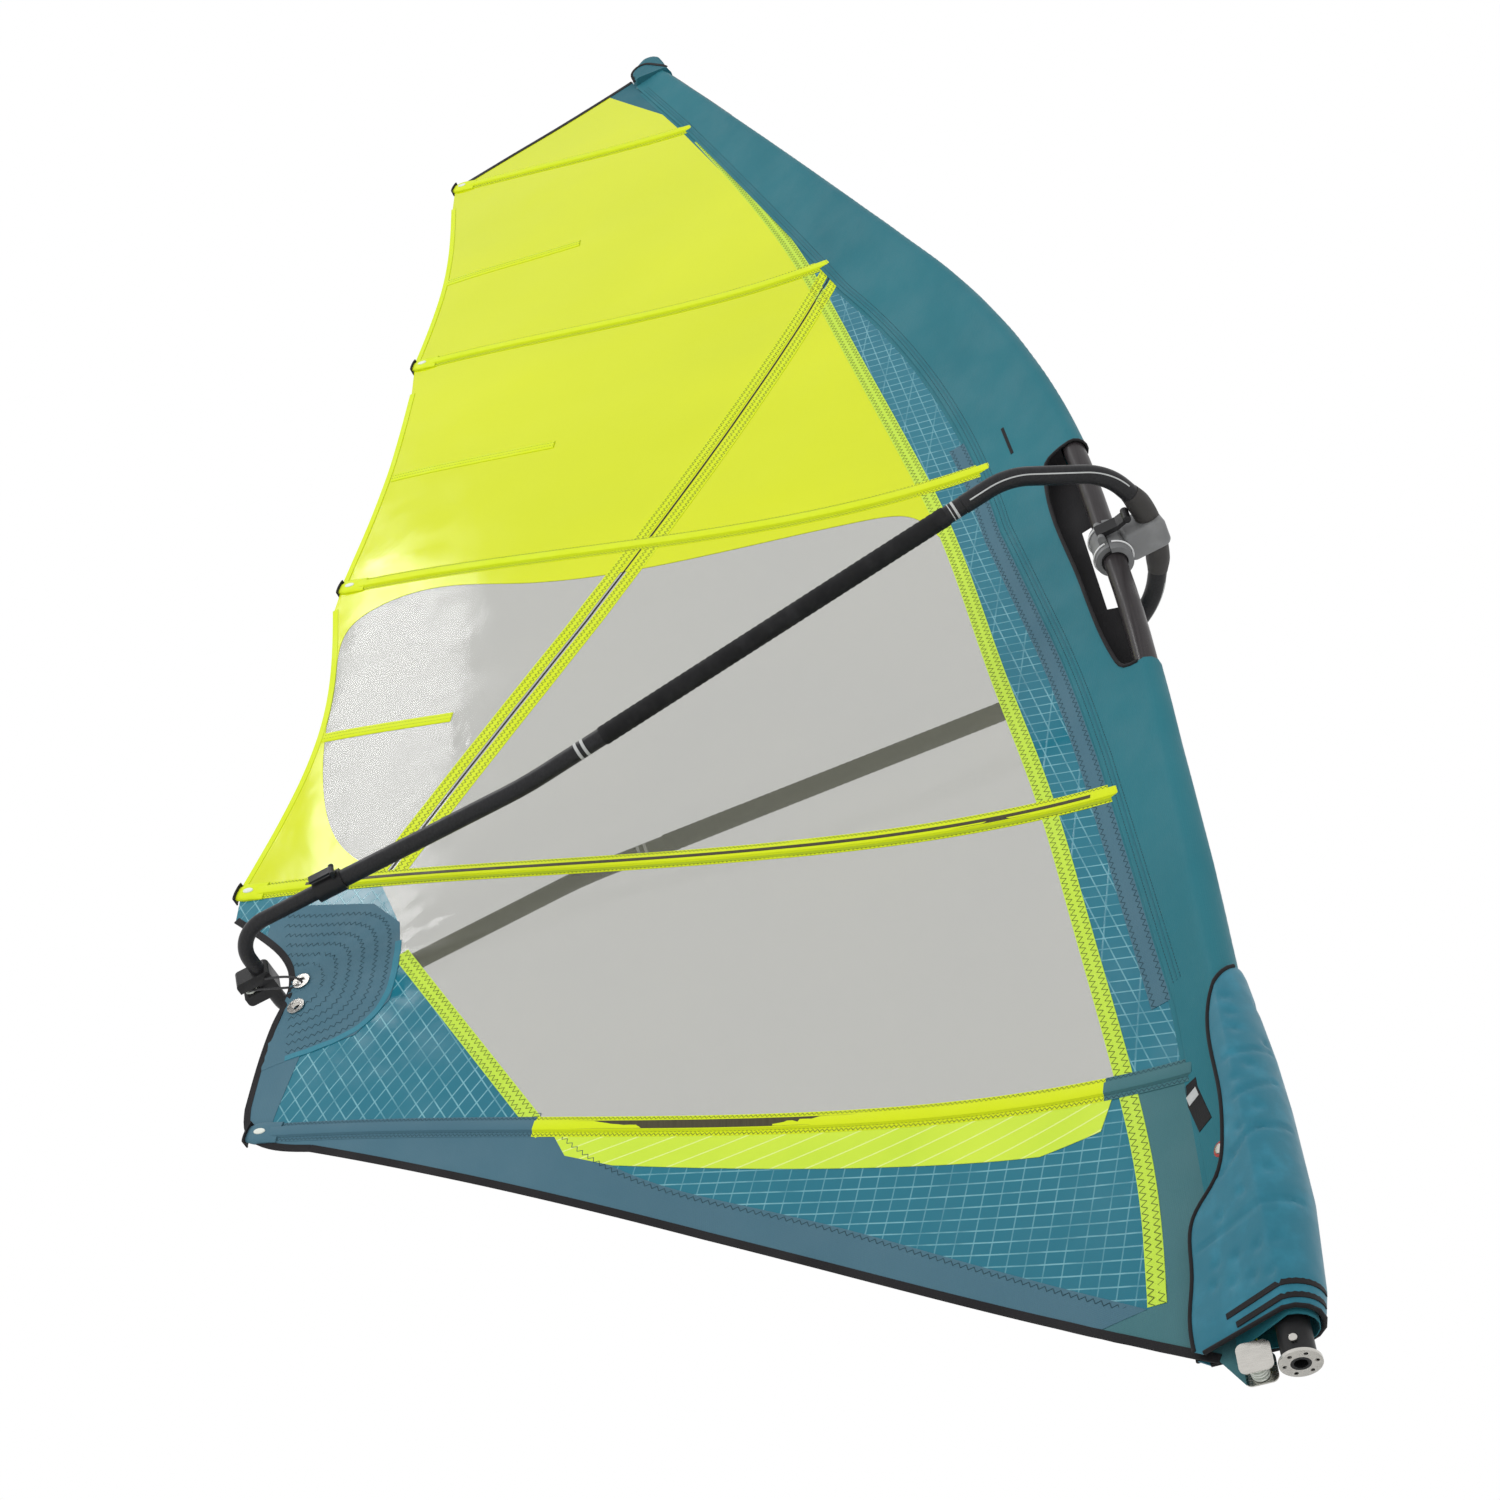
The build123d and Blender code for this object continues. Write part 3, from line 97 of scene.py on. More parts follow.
WINDOW = [(-1.299, 1.335), (-1.382, 1.426), (-1.440, 1.577), (-1.462, 1.751), (-1.466, 1.980),
          (-1.448, 2.082), (-1.362, 2.124), (-1.103, 2.062), (-0.445, 1.948), (-0.352, 1.905),
          (-0.310, 1.830), (-0.150, 1.300), (-0.150, 1.000)]
POCKET_W, BATTEN_END = 0.036, 0.050
SLEEVE_ROOM, SLEEVE_EASE, EASE_FOOT, EASE_TOP = 0.004, 0.0085, 0.8, 1.25
SLEEVE_FOOT, SLEEVE_TOP, SLEEVE_SPLIT = 0.046, 3.960, 1.247
# tack fairing: height and front radius
FAIRING_SECTIONS = [(0.048, 0.037), (0.09, 0.046), (0.211, 0.056), (0.351, 0.055), (0.435, 0.051),
                    (0.52, 0.043), (0.606, 0.035)]
FAIRING_AFT, FAIRING_LIP = -0.128, 0.009
FAIRING_EDGE = [(-0.118, 0.050), (-0.116, 0.105), (-0.103, 0.160), (-0.085, 0.235), (-0.050, 0.262),
                (-0.030, 0.311), (-0.022, 0.370), (-0.022, 0.450), (-0.018, 0.505), (0.002, 0.560),
                (0.036, 0.596)]
BOOM_Z, BOOM_DROOP, CLAMP_LEAN = 1.560, radians(15.2), radians(4)
LINE_D = 0.004
# outhaul route in boom plane directions: forward, port, up from the mast axis
LINE_ROUTE = [
    (-1.524, -0.015, -0.0192),
    (-1.500, -0.015, -0.030),
    (-1.469, -0.010, -0.0496),
    (-1.469, 0.010, -0.0496),
    (-1.500, 0.011, -0.033),
    (-1.530, 0.0, -0.024),
    (-1.5661, 0.0, -0.0056),
    (-1.5661, 0.0, 0.0036),
    (-1.548, 0.0, 0.0225),
    (-1.524, 0.0, 0.020),
]
GRID = 0.016                # spacing of the cloth meshes
SIDES = (-1, 1)             # starboard, port
ARM_FRONT, ARM_AFT = (-0.190, 0.205), (-1.0, 0.108)     # starts and ends of the boom arms, port side
BOW = [ARM_FRONT, (-0.110, 0.2145), (0.035, 0.135), (0.072, 0.050)]
BOW_RADII = [0.110, 0.120, 0.190, 0.190, 0.120, 0.110]
CAP = [(-0.806, 3.960), (-0.842, 4.056), (-0.872, 4.064), (-0.909, 4.002), (-0.896, 3.960)]
CAP_HALF, CAP_ROUND = 0.0205, 0.016
LIFT_STEP = 0.004           # reach of the finite differences for the sail normal


# ---- camera, solved from the photograph
def add_camera():
    """Camera low in front of the foot, looking up at the starboard face."""
    data = bpy.data.cameras.new("camera")
    data.sensor_width = 36
    data.lens = 58.749
    data.shift_x, data.shift_y = 0.0327, 0.0133
    camera = bpy.data.objects.new("camera", data)
    bpy.context.scene.collection.objects.link(camera)
    ahead = Vector((-0.252914, 0.601097, 0.758101)).normalized()
    up = Vector((0.292027, -0.699599, 0.652136))
    right = ahead.cross(up).normalized()
    up = right.cross(ahead)
    turn = Matrix((right, up, -ahead)).transposed()
    camera.matrix_world = Matrix.Translation((0.26544, -2.35467, -1.63314)) @ turn.to_4x4()
    bpy.context.scene.camera = camera


# ---- shapes the pieces follow
def mast_at(z):
    """Position along X and lean in radians of the mast centreline at a height."""
    x, lean = 0.0, 0.0
    for bottom, top, lean0, lean1 in STRETCHES:
        low, high = radians(lean0), radians(lean1)
        reach = min(z, top)
        if lean0 == lean1:
            x -= (reach - bottom) * tan(low)
            lean = low
        else:
            radius = (top - bottom) / (sin(high) - sin(low))
            lean = asin(sin(low) + (reach - bottom) / radius)
            x -= radius * (cos(low) - cos(lean))
        if z <= top:
            break
    return x, lean


def mast_radius(z):
    """Outer radius of the mast, which tapers above the joint."""
    return MAST_R + (MAST_TIP_R - MAST_R) * max(z - MAST_JOINT_Z, 0) / (MAST_TIP_Z - MAST_JOINT_Z)


def draft(x, z):
    """Distance of the cloth to port of the mast plane: fullest a third of the way aft."""
    lower = [s for s in SECTIONS if s[0] <= z][-1]
    upper = [s for s in SECTIONS if s[0] > z][0]
    part = (z - lower[0]) / (upper[0] - lower[0])
    depth = lower[1] + (upper[1] - lower[1]) * part
    leech = lower[2] + (upper[2] - lower[2]) * part
    front = mast_at(z)[0]
    along = min(max((front - x) / (front - leech), 0), 1)
    return depth * 6.75 * along * (1 - along) ** 2


def seam_x(z):
    """Sail plane X of the sleeve's aft seam at a height."""
    return mast_at(z)[0] - float(np.interp(z, *zip(*SEAM_GAP)))


def off_line(x, z, start, end):
    """Distance of a sail plane point from a straight line between two others."""
    run, rise = end[0] - start[0], end[1] - start[1]
    along = ((x - start[0]) * run + (z - start[1]) * rise) / (run * run + rise * rise)
    along = min(max(along, 0), 1)
    return hypot(x - start[0] - run * along, z - start[1] - rise * along)


def ease(value, low, high):
    """Smooth step from 0 at low to 1 at high."""
    part = min(max((value - low) / (high - low), 0), 1)
    return part * part * (3 - 2 * part)


RIPPLE_FREE = 0.020         # cloth this near a batten or the luff lies smooth
RIPPLE_FULL = 0.110


def ripple(x, z):
    """Creases of the film between the battens: soft waves, and fans that run into the clew and tack."""
    still = min(off_line(x, z, *batten) for batten in BATTENS)
    still = min(still, seam_x(z) - x - 0.02)
    share = ease(still, RIPPLE_FREE, RIPPLE_FULL)
    if share <= 0:
        return 0.0
    wave = 0.0014 * noise.noise((x * 3.1, 4.0, z * 3.1)) + 0.0005 * noise.noise((x * 7, 9.0, z * 9))
    for corner, reach in ((GROMMETS[0], 0.55), ((-0.12, 0.12), 0.35)):
        away = hypot(x - corner[0], z - corner[1])
        turn = np.arctan2(z - corner[1], x - corner[0])
        fan = sin(turn * 26 + 2.5 * noise.noise((x * 5, 1.0, z * 5)))
        wave += 0.0006 * fan * max(1 - away / reach, 0)
    return share * wave


def surface(x, z):
    """Point on the sail."""
    return Vector((x, draft(x, z) + ripple(x, z), z))


def normal_at(x, z):
    """Starboard normal of the sail."""
    across = surface(x + LIFT_STEP, z) - surface(x - LIFT_STEP, z)
    upward = surface(x, z + LIFT_STEP) - surface(x, z - LIFT_STEP)
    return across.cross(upward).normalized()


def smooth(points, step):
    """Points a step apart on the natural cubic spline through the given ones."""
    known = np.array(points, float)
    knots = np.concatenate([[0], np.cumsum(np.linalg.norm(np.diff(known, axis=0), axis=1))])
    gaps = np.diff(knots)
    count = len(knots)
    system, right = np.eye(count), np.zeros_like(known)
    for i in range(1, count - 1):
        system[i, i - 1:i + 2] = gaps[i - 1], 2 * (gaps[i - 1] + gaps[i]), gaps[i]
        right[i] = 6 * ((known[i + 1] - known[i]) / gaps[i] - (known[i] - known[i - 1]) / gaps[i - 1])
    bend = np.linalg.solve(system, right)
    made = []
    for t in np.linspace(0, knots[-1], max(int(knots[-1] / step) + 1, 3)):
        i = min(int(np.searchsorted(knots, t, side="right")) - 1, count - 2)
        a, b, gap = knots[i + 1] - t, t - knots[i], gaps[i]
        made.append(tuple(
            bend[i] * a ** 3 / (6 * gap) + bend[i + 1] * b ** 3 / (6 * gap)
            + (known[i] / gap - bend[i] * gap / 6) * a + (known[i + 1] / gap - bend[i + 1] * gap / 6) * b))
    return made


def straight(start, end, step):
    """Points a step apart on a straight line."""
    return smooth([start, tuple((a + b) / 2 for a, b in zip(start, end)), end], step)


def toward(point, target, distance):
    """The point moved a distance toward a target."""
    run, rise = target[0] - point[0], target[1] - point[1]
    size = hypot(run, rise)
    return (point[0] + run / size * distance, point[1] + rise / size * distance)


def beside(path, offset):
    """A path moved sideways in the sail plane, to its left for a positive offset."""
    made = []
    for i, (x, z) in enumerate(path):
        before, after = path[max(i - 1, 0)], path[min(i + 1, len(path) - 1)]
        run, rise = after[0] - before[0], after[1] - before[1]
        size = hypot(run, rise)
        made.append((x - rise / size * offset, z + run / size * offset))
    return made


def on_boom(forward, port, up, lean=BOOM_DROOP):
    """Place in the rig of a point given along the boom plane, from the mast axis."""
    x = mast_at(BOOM_Z)[0]
    return Vector((x + forward * cos(lean) - up * sin(lean), port,
                   BOOM_Z + forward * sin(lean) + up * cos(lean)))


def tilted_up(lean):
    """Direction that points up along the boom plane's normal."""
    return Vector((-sin(lean), 0, cos(lean)))


# ---- materials
ABOVE_ZERO = 8              # metres added so that the folded pattern never starts below zero
FILM = {"Specular_IOR_Level": 0.25}
WAVE_TURN = 6.3             # one wave texture period, in radians


class Look:
    """A node material: a Principled surface whose colour, roughness and relief come from patterns."""

    def __init__(self, name, color, roughness, **skin):
        self.material = bpy.data.materials.new(name)
        self.material.use_nodes = True
        self.tree = self.material.node_tree
        self.skin = self.tree.nodes["Principled BSDF"]
        self.place = self.tree.nodes.new("ShaderNodeTexCoord").outputs["Object"]
        self.color, self.rough = color, roughness
        self.skin.inputs["Base Color"].default_value = (*color, 1)
        self.skin.inputs["Roughness"].default_value = roughness
        for key, value in skin.items():
            self.skin.inputs[key.replace("_", " ")].default_value = value

    def feed(self, socket, value):
        """Link a socket to an input, or set the input to a number or a colour."""
        if isinstance(value, bpy.types.NodeSocket):
            self.tree.links.new(value, socket)
        else:
            socket.default_value = value

    def add(self, kind, settings=(), **values):
        made = self.tree.nodes.new("ShaderNode" + kind)
        for key, value in dict(settings).items():
            setattr(made, key, value)
        for key, value in values.items():
            self.feed(made.inputs[key.replace("_", " ")], value)
        return made

    def math(self, operation, *values):
        made = self.add("Math", {"operation": operation})
        for socket, value in zip(made.inputs, values):
            self.feed(socket, value)
        return made.outputs[0]

    def scaled(self, stretch):
        return self.add("Mapping", Vector=self.place, Scale=stretch).outputs[0]

    def axes(self):
        made = self.add("SeparateXYZ", Vector=self.place)
        return made.outputs[0], made.outputs[1], made.outputs[2]

    def noise(self, scale, detail=3.0, stretch=(1, 1, 1), roughness=0.5, distortion=0.0):
        made = self.add("TexNoise", Vector=self.scaled(stretch), Scale=scale, Detail=detail,
                        Roughness=roughness, Distortion=distortion)
        return made.outputs[0]

    def wave(self, scale, stretch=(1, 1, 1), direction="X", distortion=0.0):
        made = self.add("TexWave", {"bands_direction": direction}, Vector=self.scaled(stretch),
                        Scale=scale, Distortion=distortion)
        return made.outputs[1]

    def ramp(self, value, low, high, to_low=0.0, to_high=1.0):
        made = self.add("MapRange", {"interpolation_type": "SMOOTHSTEP"}, Value=value, From_Min=low,
                        From_Max=high, To_Min=to_low, To_Max=to_high)
        return made.outputs[0]

    def mix(self, share, first, second):
        made = self.add("Mix", {"data_type": "RGBA"})
        for number, value in ((0, share), (6, first), (7, second)):
            self.feed(made.inputs[number], (*value, 1) if isinstance(value, tuple) else value)
        return made.outputs[2]

    def paint(self, color):
        self.tree.links.new(color, self.skin.inputs["Base Color"])
        return self

    def vary(self, share, darker):
        """Colour that drifts between the main one and a darker one."""
        return self.paint(self.mix(share, self.color, darker))

    def scuff(self, share, low, high):
        """Roughness that follows a pattern."""
        self.tree.links.new(self.ramp(share, 0.25, 0.75, low, high), self.skin.inputs["Roughness"])
        return self

    def relief(self, *heights):
        """Stacked bumps, each a pattern with its depth in metres."""
        last = None
        for height, depth in heights:
            made = self.add("Bump", Height=height, Distance=depth, Strength=1.0)
            if last:
                self.tree.links.new(last, made.inputs["Normal"])
            last = made.outputs[0]
        self.tree.links.new(last, self.skin.inputs["Normal"])
        return self


def thread_lines(look, turn, pitch, width, bow=0.0):
    """Mask of parallel threads in the sail plane, at an angle in degrees and bowed a little."""
    x, _, z = look.axes()
    over, up = cos(radians(turn)), sin(radians(turn))
    across = look.math("ADD", look.math("MULTIPLY", x, -up), look.math("MULTIPLY", z, over))
    along = look.math("ADD", look.math("MULTIPLY", x, over), look.math("MULTIPLY", z, up))
    bent = look.math("ADD", across, look.math("MULTIPLY", look.math("MULTIPLY", along, along), bow))
    gap = look.math("PINGPONG", look.math("ADD", bent, ABOVE_ZERO), pitch / 2)
    return look.ramp(gap, width * 0.35, width * 0.65, 1.0, 0.0)


def film_yellow():
    look = Look("film_yellow", (0.60, 0.66, 0.002), 0.12, **FILM)
    look.vary(look.noise(1.7, 2, (1, 1, 1.6)), (0.50, 0.57, 0.002))
    look.scuff(look.noise(9, 4), 0.07, 0.20)
    return look.relief((look.noise(7, 3, (1, 1, 0.6), distortion=0.6), 0.0015))


def film_clear():
    look = Look("film_clear", (0.20, 0.20, 0.150), 0.08, Alpha=0.38, **FILM)
    look.vary(look.noise(2.3, 3), (0.16, 0.165, 0.135))
    look.scuff(look.noise(12, 4), 0.04, 0.16)
    return look.relief((look.noise(6, 3, (1, 1, 0.6), distortion=0.8), 0.0012))


def film_lime():
    look = Look("film_lime", (0.50, 0.66, 0.03), 0.2, **FILM)
    threads = thread_lines(look, 12, 0.024, 0.0022)
    look.paint(look.mix(threads, look.mix(look.noise(8), (0.44, 0.62, 0.03), (0.56, 0.70, 0.05)),
                        (0.62, 0.74, 0.20)))
    return look.relief((look.noise(10), 0.001), (threads, 0.0002))


def laminate(name, families):
    """Teal film over a net of pale threads."""
    look = Look(name, (0.010, 0.118, 0.178), 0.18, **FILM)
    base = look.mix(look.noise(2.2, 3), look.color, (0.014, 0.162, 0.215))
    net = None
    for turn, pitch, width, bow, bright in families:
        lines = look.math("MULTIPLY", thread_lines(look, turn, pitch, width, bow), bright)
        net = look.math("MAXIMUM", net, lines) if net else lines
    worn = look.math("MULTIPLY", net, look.ramp(look.noise(22, 3), 0.3, 0.65, 0.35, 1.0))
    look.paint(look.mix(worn, base, (0.15, 0.36, 0.42)))
    look.scuff(look.noise(14), 0.08, 0.22)
    return look.relief((look.noise(9, 3, distortion=0.5), 0.0010), (net, 0.0002))


def cloth(name, color, darker, weave=0.0014, roughness=0.6, crease=0.0012):
    """Woven polyester: fine weave, soft creases and colour that drifts in patches toward a darker tone."""
    look = Look(name, color, roughness, Sheen_Weight=0.06, Sheen_Roughness=0.4,
                Specular_IOR_Level=0.15)
    look.vary(look.noise(3.2, 5, (1, 1, 0.45), 0.6), darker)
    look.scuff(look.noise(11), roughness - 0.1, roughness + 0.1)
    warp, weft = (look.wave(1 / weave / WAVE_TURN, direction=way) for way in "XZ")
    return look.relief((look.noise(16, 4, (1, 1, 0.35), distortion=0.7), crease),
                       (look.math("MULTIPLY", warp, weft), 0.00012))


def plastic(name, color, roughness, grain=600, depth=0.00005, lighter=1.25, sheen=0.0):
    """Moulded plastic or rubber: fine grain and faint wear."""
    look = Look(name, color, roughness, Specular_IOR_Level=0.2, Sheen_Weight=sheen)
    worn = tuple(min(c * lighter + 0.004, 1) for c in color)
    look.vary(look.ramp(look.noise(30, 5), 0.45, 0.8), worn)
    look.scuff(look.noise(40, 4), roughness - 0.08, roughness + 0.1)
    return look.relief((look.noise(grain, 3), depth))


def carbon(name, color, roughness, pitch=0.003):
    """Carbon laminate under resin: unidirectional tow with a faint cross weave."""
    look = Look(name, color, roughness, Coat_Weight=0.04, Coat_Roughness=0.18,
                Specular_IOR_Level=0.15)
    tow = look.noise(1 / pitch, 2, (1, 1, 0.04))
    look.vary(tow, tuple(c * 2.4 + 0.003 for c in color))
    look.scuff(look.noise(26, 4), roughness - 0.06, roughness + 0.12)
    return look.relief((tow, 0.00008))


def metal(name, color, roughness, grain=(1, 1, 8)):
    """Brushed or drawn metal with a soft grain."""
    look = Look(name, color, roughness, Metallic=1.0)
    look.vary(look.noise(60, 4, grain), tuple(c * 0.7 for c in color))
    look.scuff(look.noise(120, 4, grain), roughness - 0.08, roughness + 0.14)
    return look.relief((look.noise(420, 3, grain), 0.00004))


def braid(name, color, lighter, pitch=0.003):
    """Braided rope: crossed diagonal strands."""
    look = Look(name, color, 0.7)
    one = thread_lines(look, 40, pitch, pitch * 0.9)
    two = thread_lines(look, -40, pitch, pitch * 0.9)
    strands = look.math("MAXIMUM", one, two)
    look.paint(look.mix(look.math("MULTIPLY", one, look.noise(300)), color, lighter))
    return look.relief((strands, 0.0004))


# each row below: maker, name and the maker's settings
LOOKS = {"film_yellow": film_yellow(), "film_clear": film_clear(), "film_lime": film_lime()}
for make, key, *settings in [
    (laminate, "xply_luff", [(-24, 0.019, 0.0018, 0.05, 1.0), (104, 0.022, 0.0018, 0.02, 0.8),
                             (78, 0.061, 0.0024, 0.0, 0.5)]),
    (laminate, "xply_clew", [(52, 0.023, 0.0020, 0.1, 1.0), (118, 0.025, 0.0020, 0.0, 1.0)]),
    (laminate, "xply_foot", [(-22, 0.019, 0.0020, 0.10, 1.0), (75, 0.026, 0.0018, 0.0, 0.6)]),
    # the teal sleeve's darker tone is its shaded colour, so its patches are painted shade
    (cloth, "cloth_teal", (0.022, 0.165, 0.205), (0.013, 0.105, 0.138)),
    (cloth, "cloth_deep", (0.016, 0.128, 0.170), (0.022, 0.100, 0.128)),
    (cloth, "cloth_blue", (0.065, 0.150, 0.200), (0.045, 0.112, 0.155)),
    (cloth, "cloth_grey", (0.060, 0.160, 0.178), (0.035, 0.120, 0.140)),
    (cloth, "tape_lime", (0.60, 0.67, 0.008), (0.52, 0.66, 0.008), 0.0016, 0.55, 0.0006),
    (cloth, "tape_pale", (0.50, 0.68, 0.060), (0.40, 0.58, 0.05), 0.0016, 0.6, 0.0006),
    # darker copy of the lime tape, used only as painted shade on pocket 4
    (cloth, "tape_olive", (0.36, 0.45, 0.012), (0.28, 0.36, 0.01), 0.0016, 0.6, 0.0006),
    (cloth, "binding_black", (0.017, 0.016, 0.018), (0.009, 0.009, 0.010), 0.0018, 0.7, 0.0006),
    (cloth, "rim_teal", (0.034, 0.190, 0.260), (0.028, 0.160, 0.22), 0.0014, 0.5, 0.0004),
    (plastic, "foam_teal", (0.014, 0.135, 0.195), 0.48, 500, 0.0001, 1.25, 0.15),
    (plastic, "thread_dark", (0.10, 0.13, 0.03), 0.6, 900),
    (plastic, "thread_teal", (0.022, 0.060, 0.080), 0.6, 900),
    (carbon, "carbon_mast", (0.016, 0.014, 0.015), 0.30),
    (carbon, "carbon_boom", (0.010, 0.010, 0.011), 0.34),
    (plastic, "bow_grip", (0.040, 0.038, 0.037), 0.55, 420, 0.00012, 1.3),
    (plastic, "mark_grey", (0.42, 0.43, 0.43), 0.5, 500),
    (plastic, "grip_foam", (0.010, 0.010, 0.011), 0.75, 380, 0.0002, 1.4),
    (plastic, "plastic_black", (0.012, 0.012, 0.013), 0.38, 700, 0.00004, 1.6),
    (plastic, "plastic_grey", (0.165, 0.168, 0.172), 0.42, 600, 0.00006, 1.2),
    (plastic, "plastic_pale", (0.62, 0.65, 0.60), 0.4, 600, 0.00004, 1.05),
    (plastic, "rubber_black", (0.012, 0.012, 0.012), 0.7, 300, 0.0001, 1.5),
    (plastic, "snap_red", (0.35, 0.05, 0.05), 0.4, 700),
    (carbon, "batten_glass", (0.030, 0.026, 0.012), 0.4, 0.002),
    (metal, "stainless", (0.66, 0.64, 0.60), 0.20),
    (metal, "alloy", (0.30, 0.31, 0.32), 0.34),
    (braid, "rope_black", (0.010, 0.010, 0.011), (0.06, 0.06, 0.065)),
    (braid, "line_pale", (0.62, 0.63, 0.64), (0.80, 0.80, 0.80), 0.0022),
    (cloth, "webbing_lime", (0.50, 0.62, 0.02), (0.36, 0.46, 0.02), 0.0020, 0.65, 0.0004),
]:
    LOOKS[key] = make(key, *settings)


# ---- mesh helpers
def add_piece(name, points, faces, look, body="rig", nodes=(), sharp=35):
    """Mesh object that rides a body, if it has one, and stands for the named CAD nodes."""
    mesh = bpy.data.meshes.new(name)
    mesh.from_pydata([tuple(p) for p in points], [], faces)
    mesh.update()
    mesh.shade_smooth()
    if sharp:
        mesh.set_sharp_from_angle(angle=radians(sharp))
    mesh.materials.append(LOOKS[look].material)
    piece = bpy.data.objects.new(name, mesh)
    bpy.context.scene.collection.objects.link(piece)
    if body:
        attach(piece, body)
    if nodes:
        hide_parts(*nodes)
    return piece


class Gathered:
    """Many small closed shapes that end up as one piece."""

    def __init__(self):
        self.points, self.faces = [], []

    def take(self, points, faces):
        first = len(self.points)
        self.points += points
        self.faces += [[first + i for i in face] for face in faces]

    def add(self, name, look, body="rig", nodes=()):
        return add_piece(name, self.points, self.faces, look, body, nodes)


def outline(node):
    """Edge loops of a CAD cloth piece seen from starboard, the longest first."""
    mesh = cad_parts[node].data
    mesh.calc_loop_triangles()
    flat = [(round(v.co.x, 5), round(v.co.z, 5)) for v in mesh.vertices]
    sides = set()
    for triangle in mesh.loop_triangles:
        if triangle.normal.y < -0.5:
            a, b, c = (flat[i] for i in triangle.vertices)
            sides |= {(a, b), (b, c), (c, a)}
    follow = {a: b for a, b in sorted(sides) if (b, a) not in sides}
    loops = []
    while follow:
        start = min(follow)
        here, loop = follow.pop(start), [start]
        while here != start and here in follow:
            if hypot(here[0] - loop[-1][0], here[1] - loop[-1][1]) > 0.001:
                loop.append(here)
            here = follow.pop(here)
        loops.append(loop)
    return sorted((loop for loop in loops if len(loop) > 2), key=len, reverse=True)


def within(points, loops):
    """Which points lie inside an odd number of the loops."""
    x, z = points[:, :1], points[:, 1:]
    odd = np.zeros(len(points), bool)
    for loop in loops:
        a = np.array(loop)
        b = np.roll(a, -1, 0)
        rise = np.where(b[:, 1] == a[:, 1], 1e-12, b[:, 1] - a[:, 1])
        crosses = (a[:, 1] > z) != (b[:, 1] > z)
        at = a[:, 0] + (z - a[:, 1]) * (b[:, 0] - a[:, 0]) / rise
        odd ^= (crosses & (x < at)).sum(1) % 2 == 1
    return odd


def triangulate(loops, keep, step):
    """Even triangles cut along the loops, where keep says so: flat points and triangles."""
    points, edges = [], []
    for loop in loops:
        first = len(points)
        for (ax, az), (bx, bz) in zip(loop, loop[1:] + loop[:1]):
            count = max(round(hypot(bx - ax, bz - az) / step), 1)
            points += [(ax + (bx - ax) * i / count, az + (bz - az) * i / count) for i in range(count)]
        last = len(points)
        edges += [(i, i + 1 if i + 1 < last else first) for i in range(first, last)]
    rim = KDTree(len(points))
    for i, (x, z) in enumerate(points):
        rim.insert((x, z, 0), i)
    rim.balance()
    low, high = np.min(points, 0), np.max(points, 0)
    rows = np.arange(low[1], high[1], step * 0.87)
    field = np.array([(x + step / 2 * (i % 2), z) for i, z in enumerate(rows)
                      for x in np.arange(low[0], high[0], step)])
    field = field[keep(field)]
    points += [(x, z) for x, z in field if rim.find((x, z, 0))[2] > 0.55 * step]
    made = delaunay_2d_cdt([Vector(p) for p in points], edges, [], 0, 1e-6)
    flat, triangles = np.array([tuple(p) for p in made[0]]), np.array(made[2])
    chosen = keep(flat[triangles].mean(1))
    return flat, triangles[chosen].tolist()


def shell(faces, count):
    """Faces of a closed skin: the given ones, their copy on the other side and the rim between."""
    sides = {(a, b) for face in faces for a, b in zip(face, face[1:] + face[:1])}
    rim = [(b, a, a + count, b + count) for a, b in sorted(sides) if (b, a) not in sides]
    return faces + [[i + count for i in reversed(face)] for face in faces] + rim


def two_sided(flat, triangles, place, front, back):
    """Closed sheet: place gives a point and its outward direction for each flat point."""
    used = sorted({i for triangle in triangles for i in triangle})
    number = {old: new for new, old in enumerate(used)}
    placed = [place(*map(float, flat[i])) for i in used]
    points = [p + out * front for p, out in placed] + [p + out * back for p, out in placed]
    return points, shell([[number[i] for i in triangle] for triangle in triangles], len(used))


STARBOARD = Vector((0, -1, 0))


def on_sail(x, z):
    return surface(x, z), STARBOARD


def add_sheet(name, loops, keep, look, front=0.0, back=-0.0006, nodes=(), place=on_sail, step=GRID):
    """Sheet of cloth or film, built at the size it was cut to."""
    flat, triangles = triangulate(loops, keep, step)
    points, faces = two_sided(flat, triangles, place, front, back)
    piece = add_piece(name, points, faces, look, "rig", nodes)
    return piece


def tube_faces(count, size):
    """Faces of a capped tube of count sections with size points each."""
    faces = [(i + k, i + size + k, i + size + (k + 1) % size, i + (k + 1) % size)
             for i in range(0, (count - 1) * size, size) for k in range(size)]
    return faces + [list(range(size)), list(range((count - 1) * size, count * size))[::-1]]


def sweep(points, ups, profile):
    """Closed bar whose section, (across, out) pairs turning left, follows the points."""
    placed = []
    for i, (point, up) in enumerate(zip(points, ups)):
        before, after = points[max(i - 1, 0)], points[min(i + 1, len(points) - 1)]
        ahead = (after - before).normalized()
        side = ahead.cross(up).normalized()
        out = side.cross(ahead)
        placed += [point + side * a + out * o for a, o in profile]
    return placed, tube_faces(len(points), len(profile))


def along(placed, profile, lift=0.0):
    """Closed bar over points that come with their outward directions."""
    return sweep([p + out * lift for p, out in placed], [out for _, out in placed], profile)


def ring_profile(across, out=None, lift=0.0, count=12):
    """Oval section: half width across, half height out."""
    out = out or across
    return [(across * cos(2 * pi * i / count), lift + out * sin(2 * pi * i / count)) for i in range(count)]


def tape_profile(width, thick, sunk=0.0003, round_off=0.0004):
    """Flat tape section with eased top corners."""
    half = width / 2
    return [(-half, -sunk), (half, -sunk), (half, thick - round_off), (half - round_off, thick),
            (-half + round_off, thick), (-half, thick - round_off)]


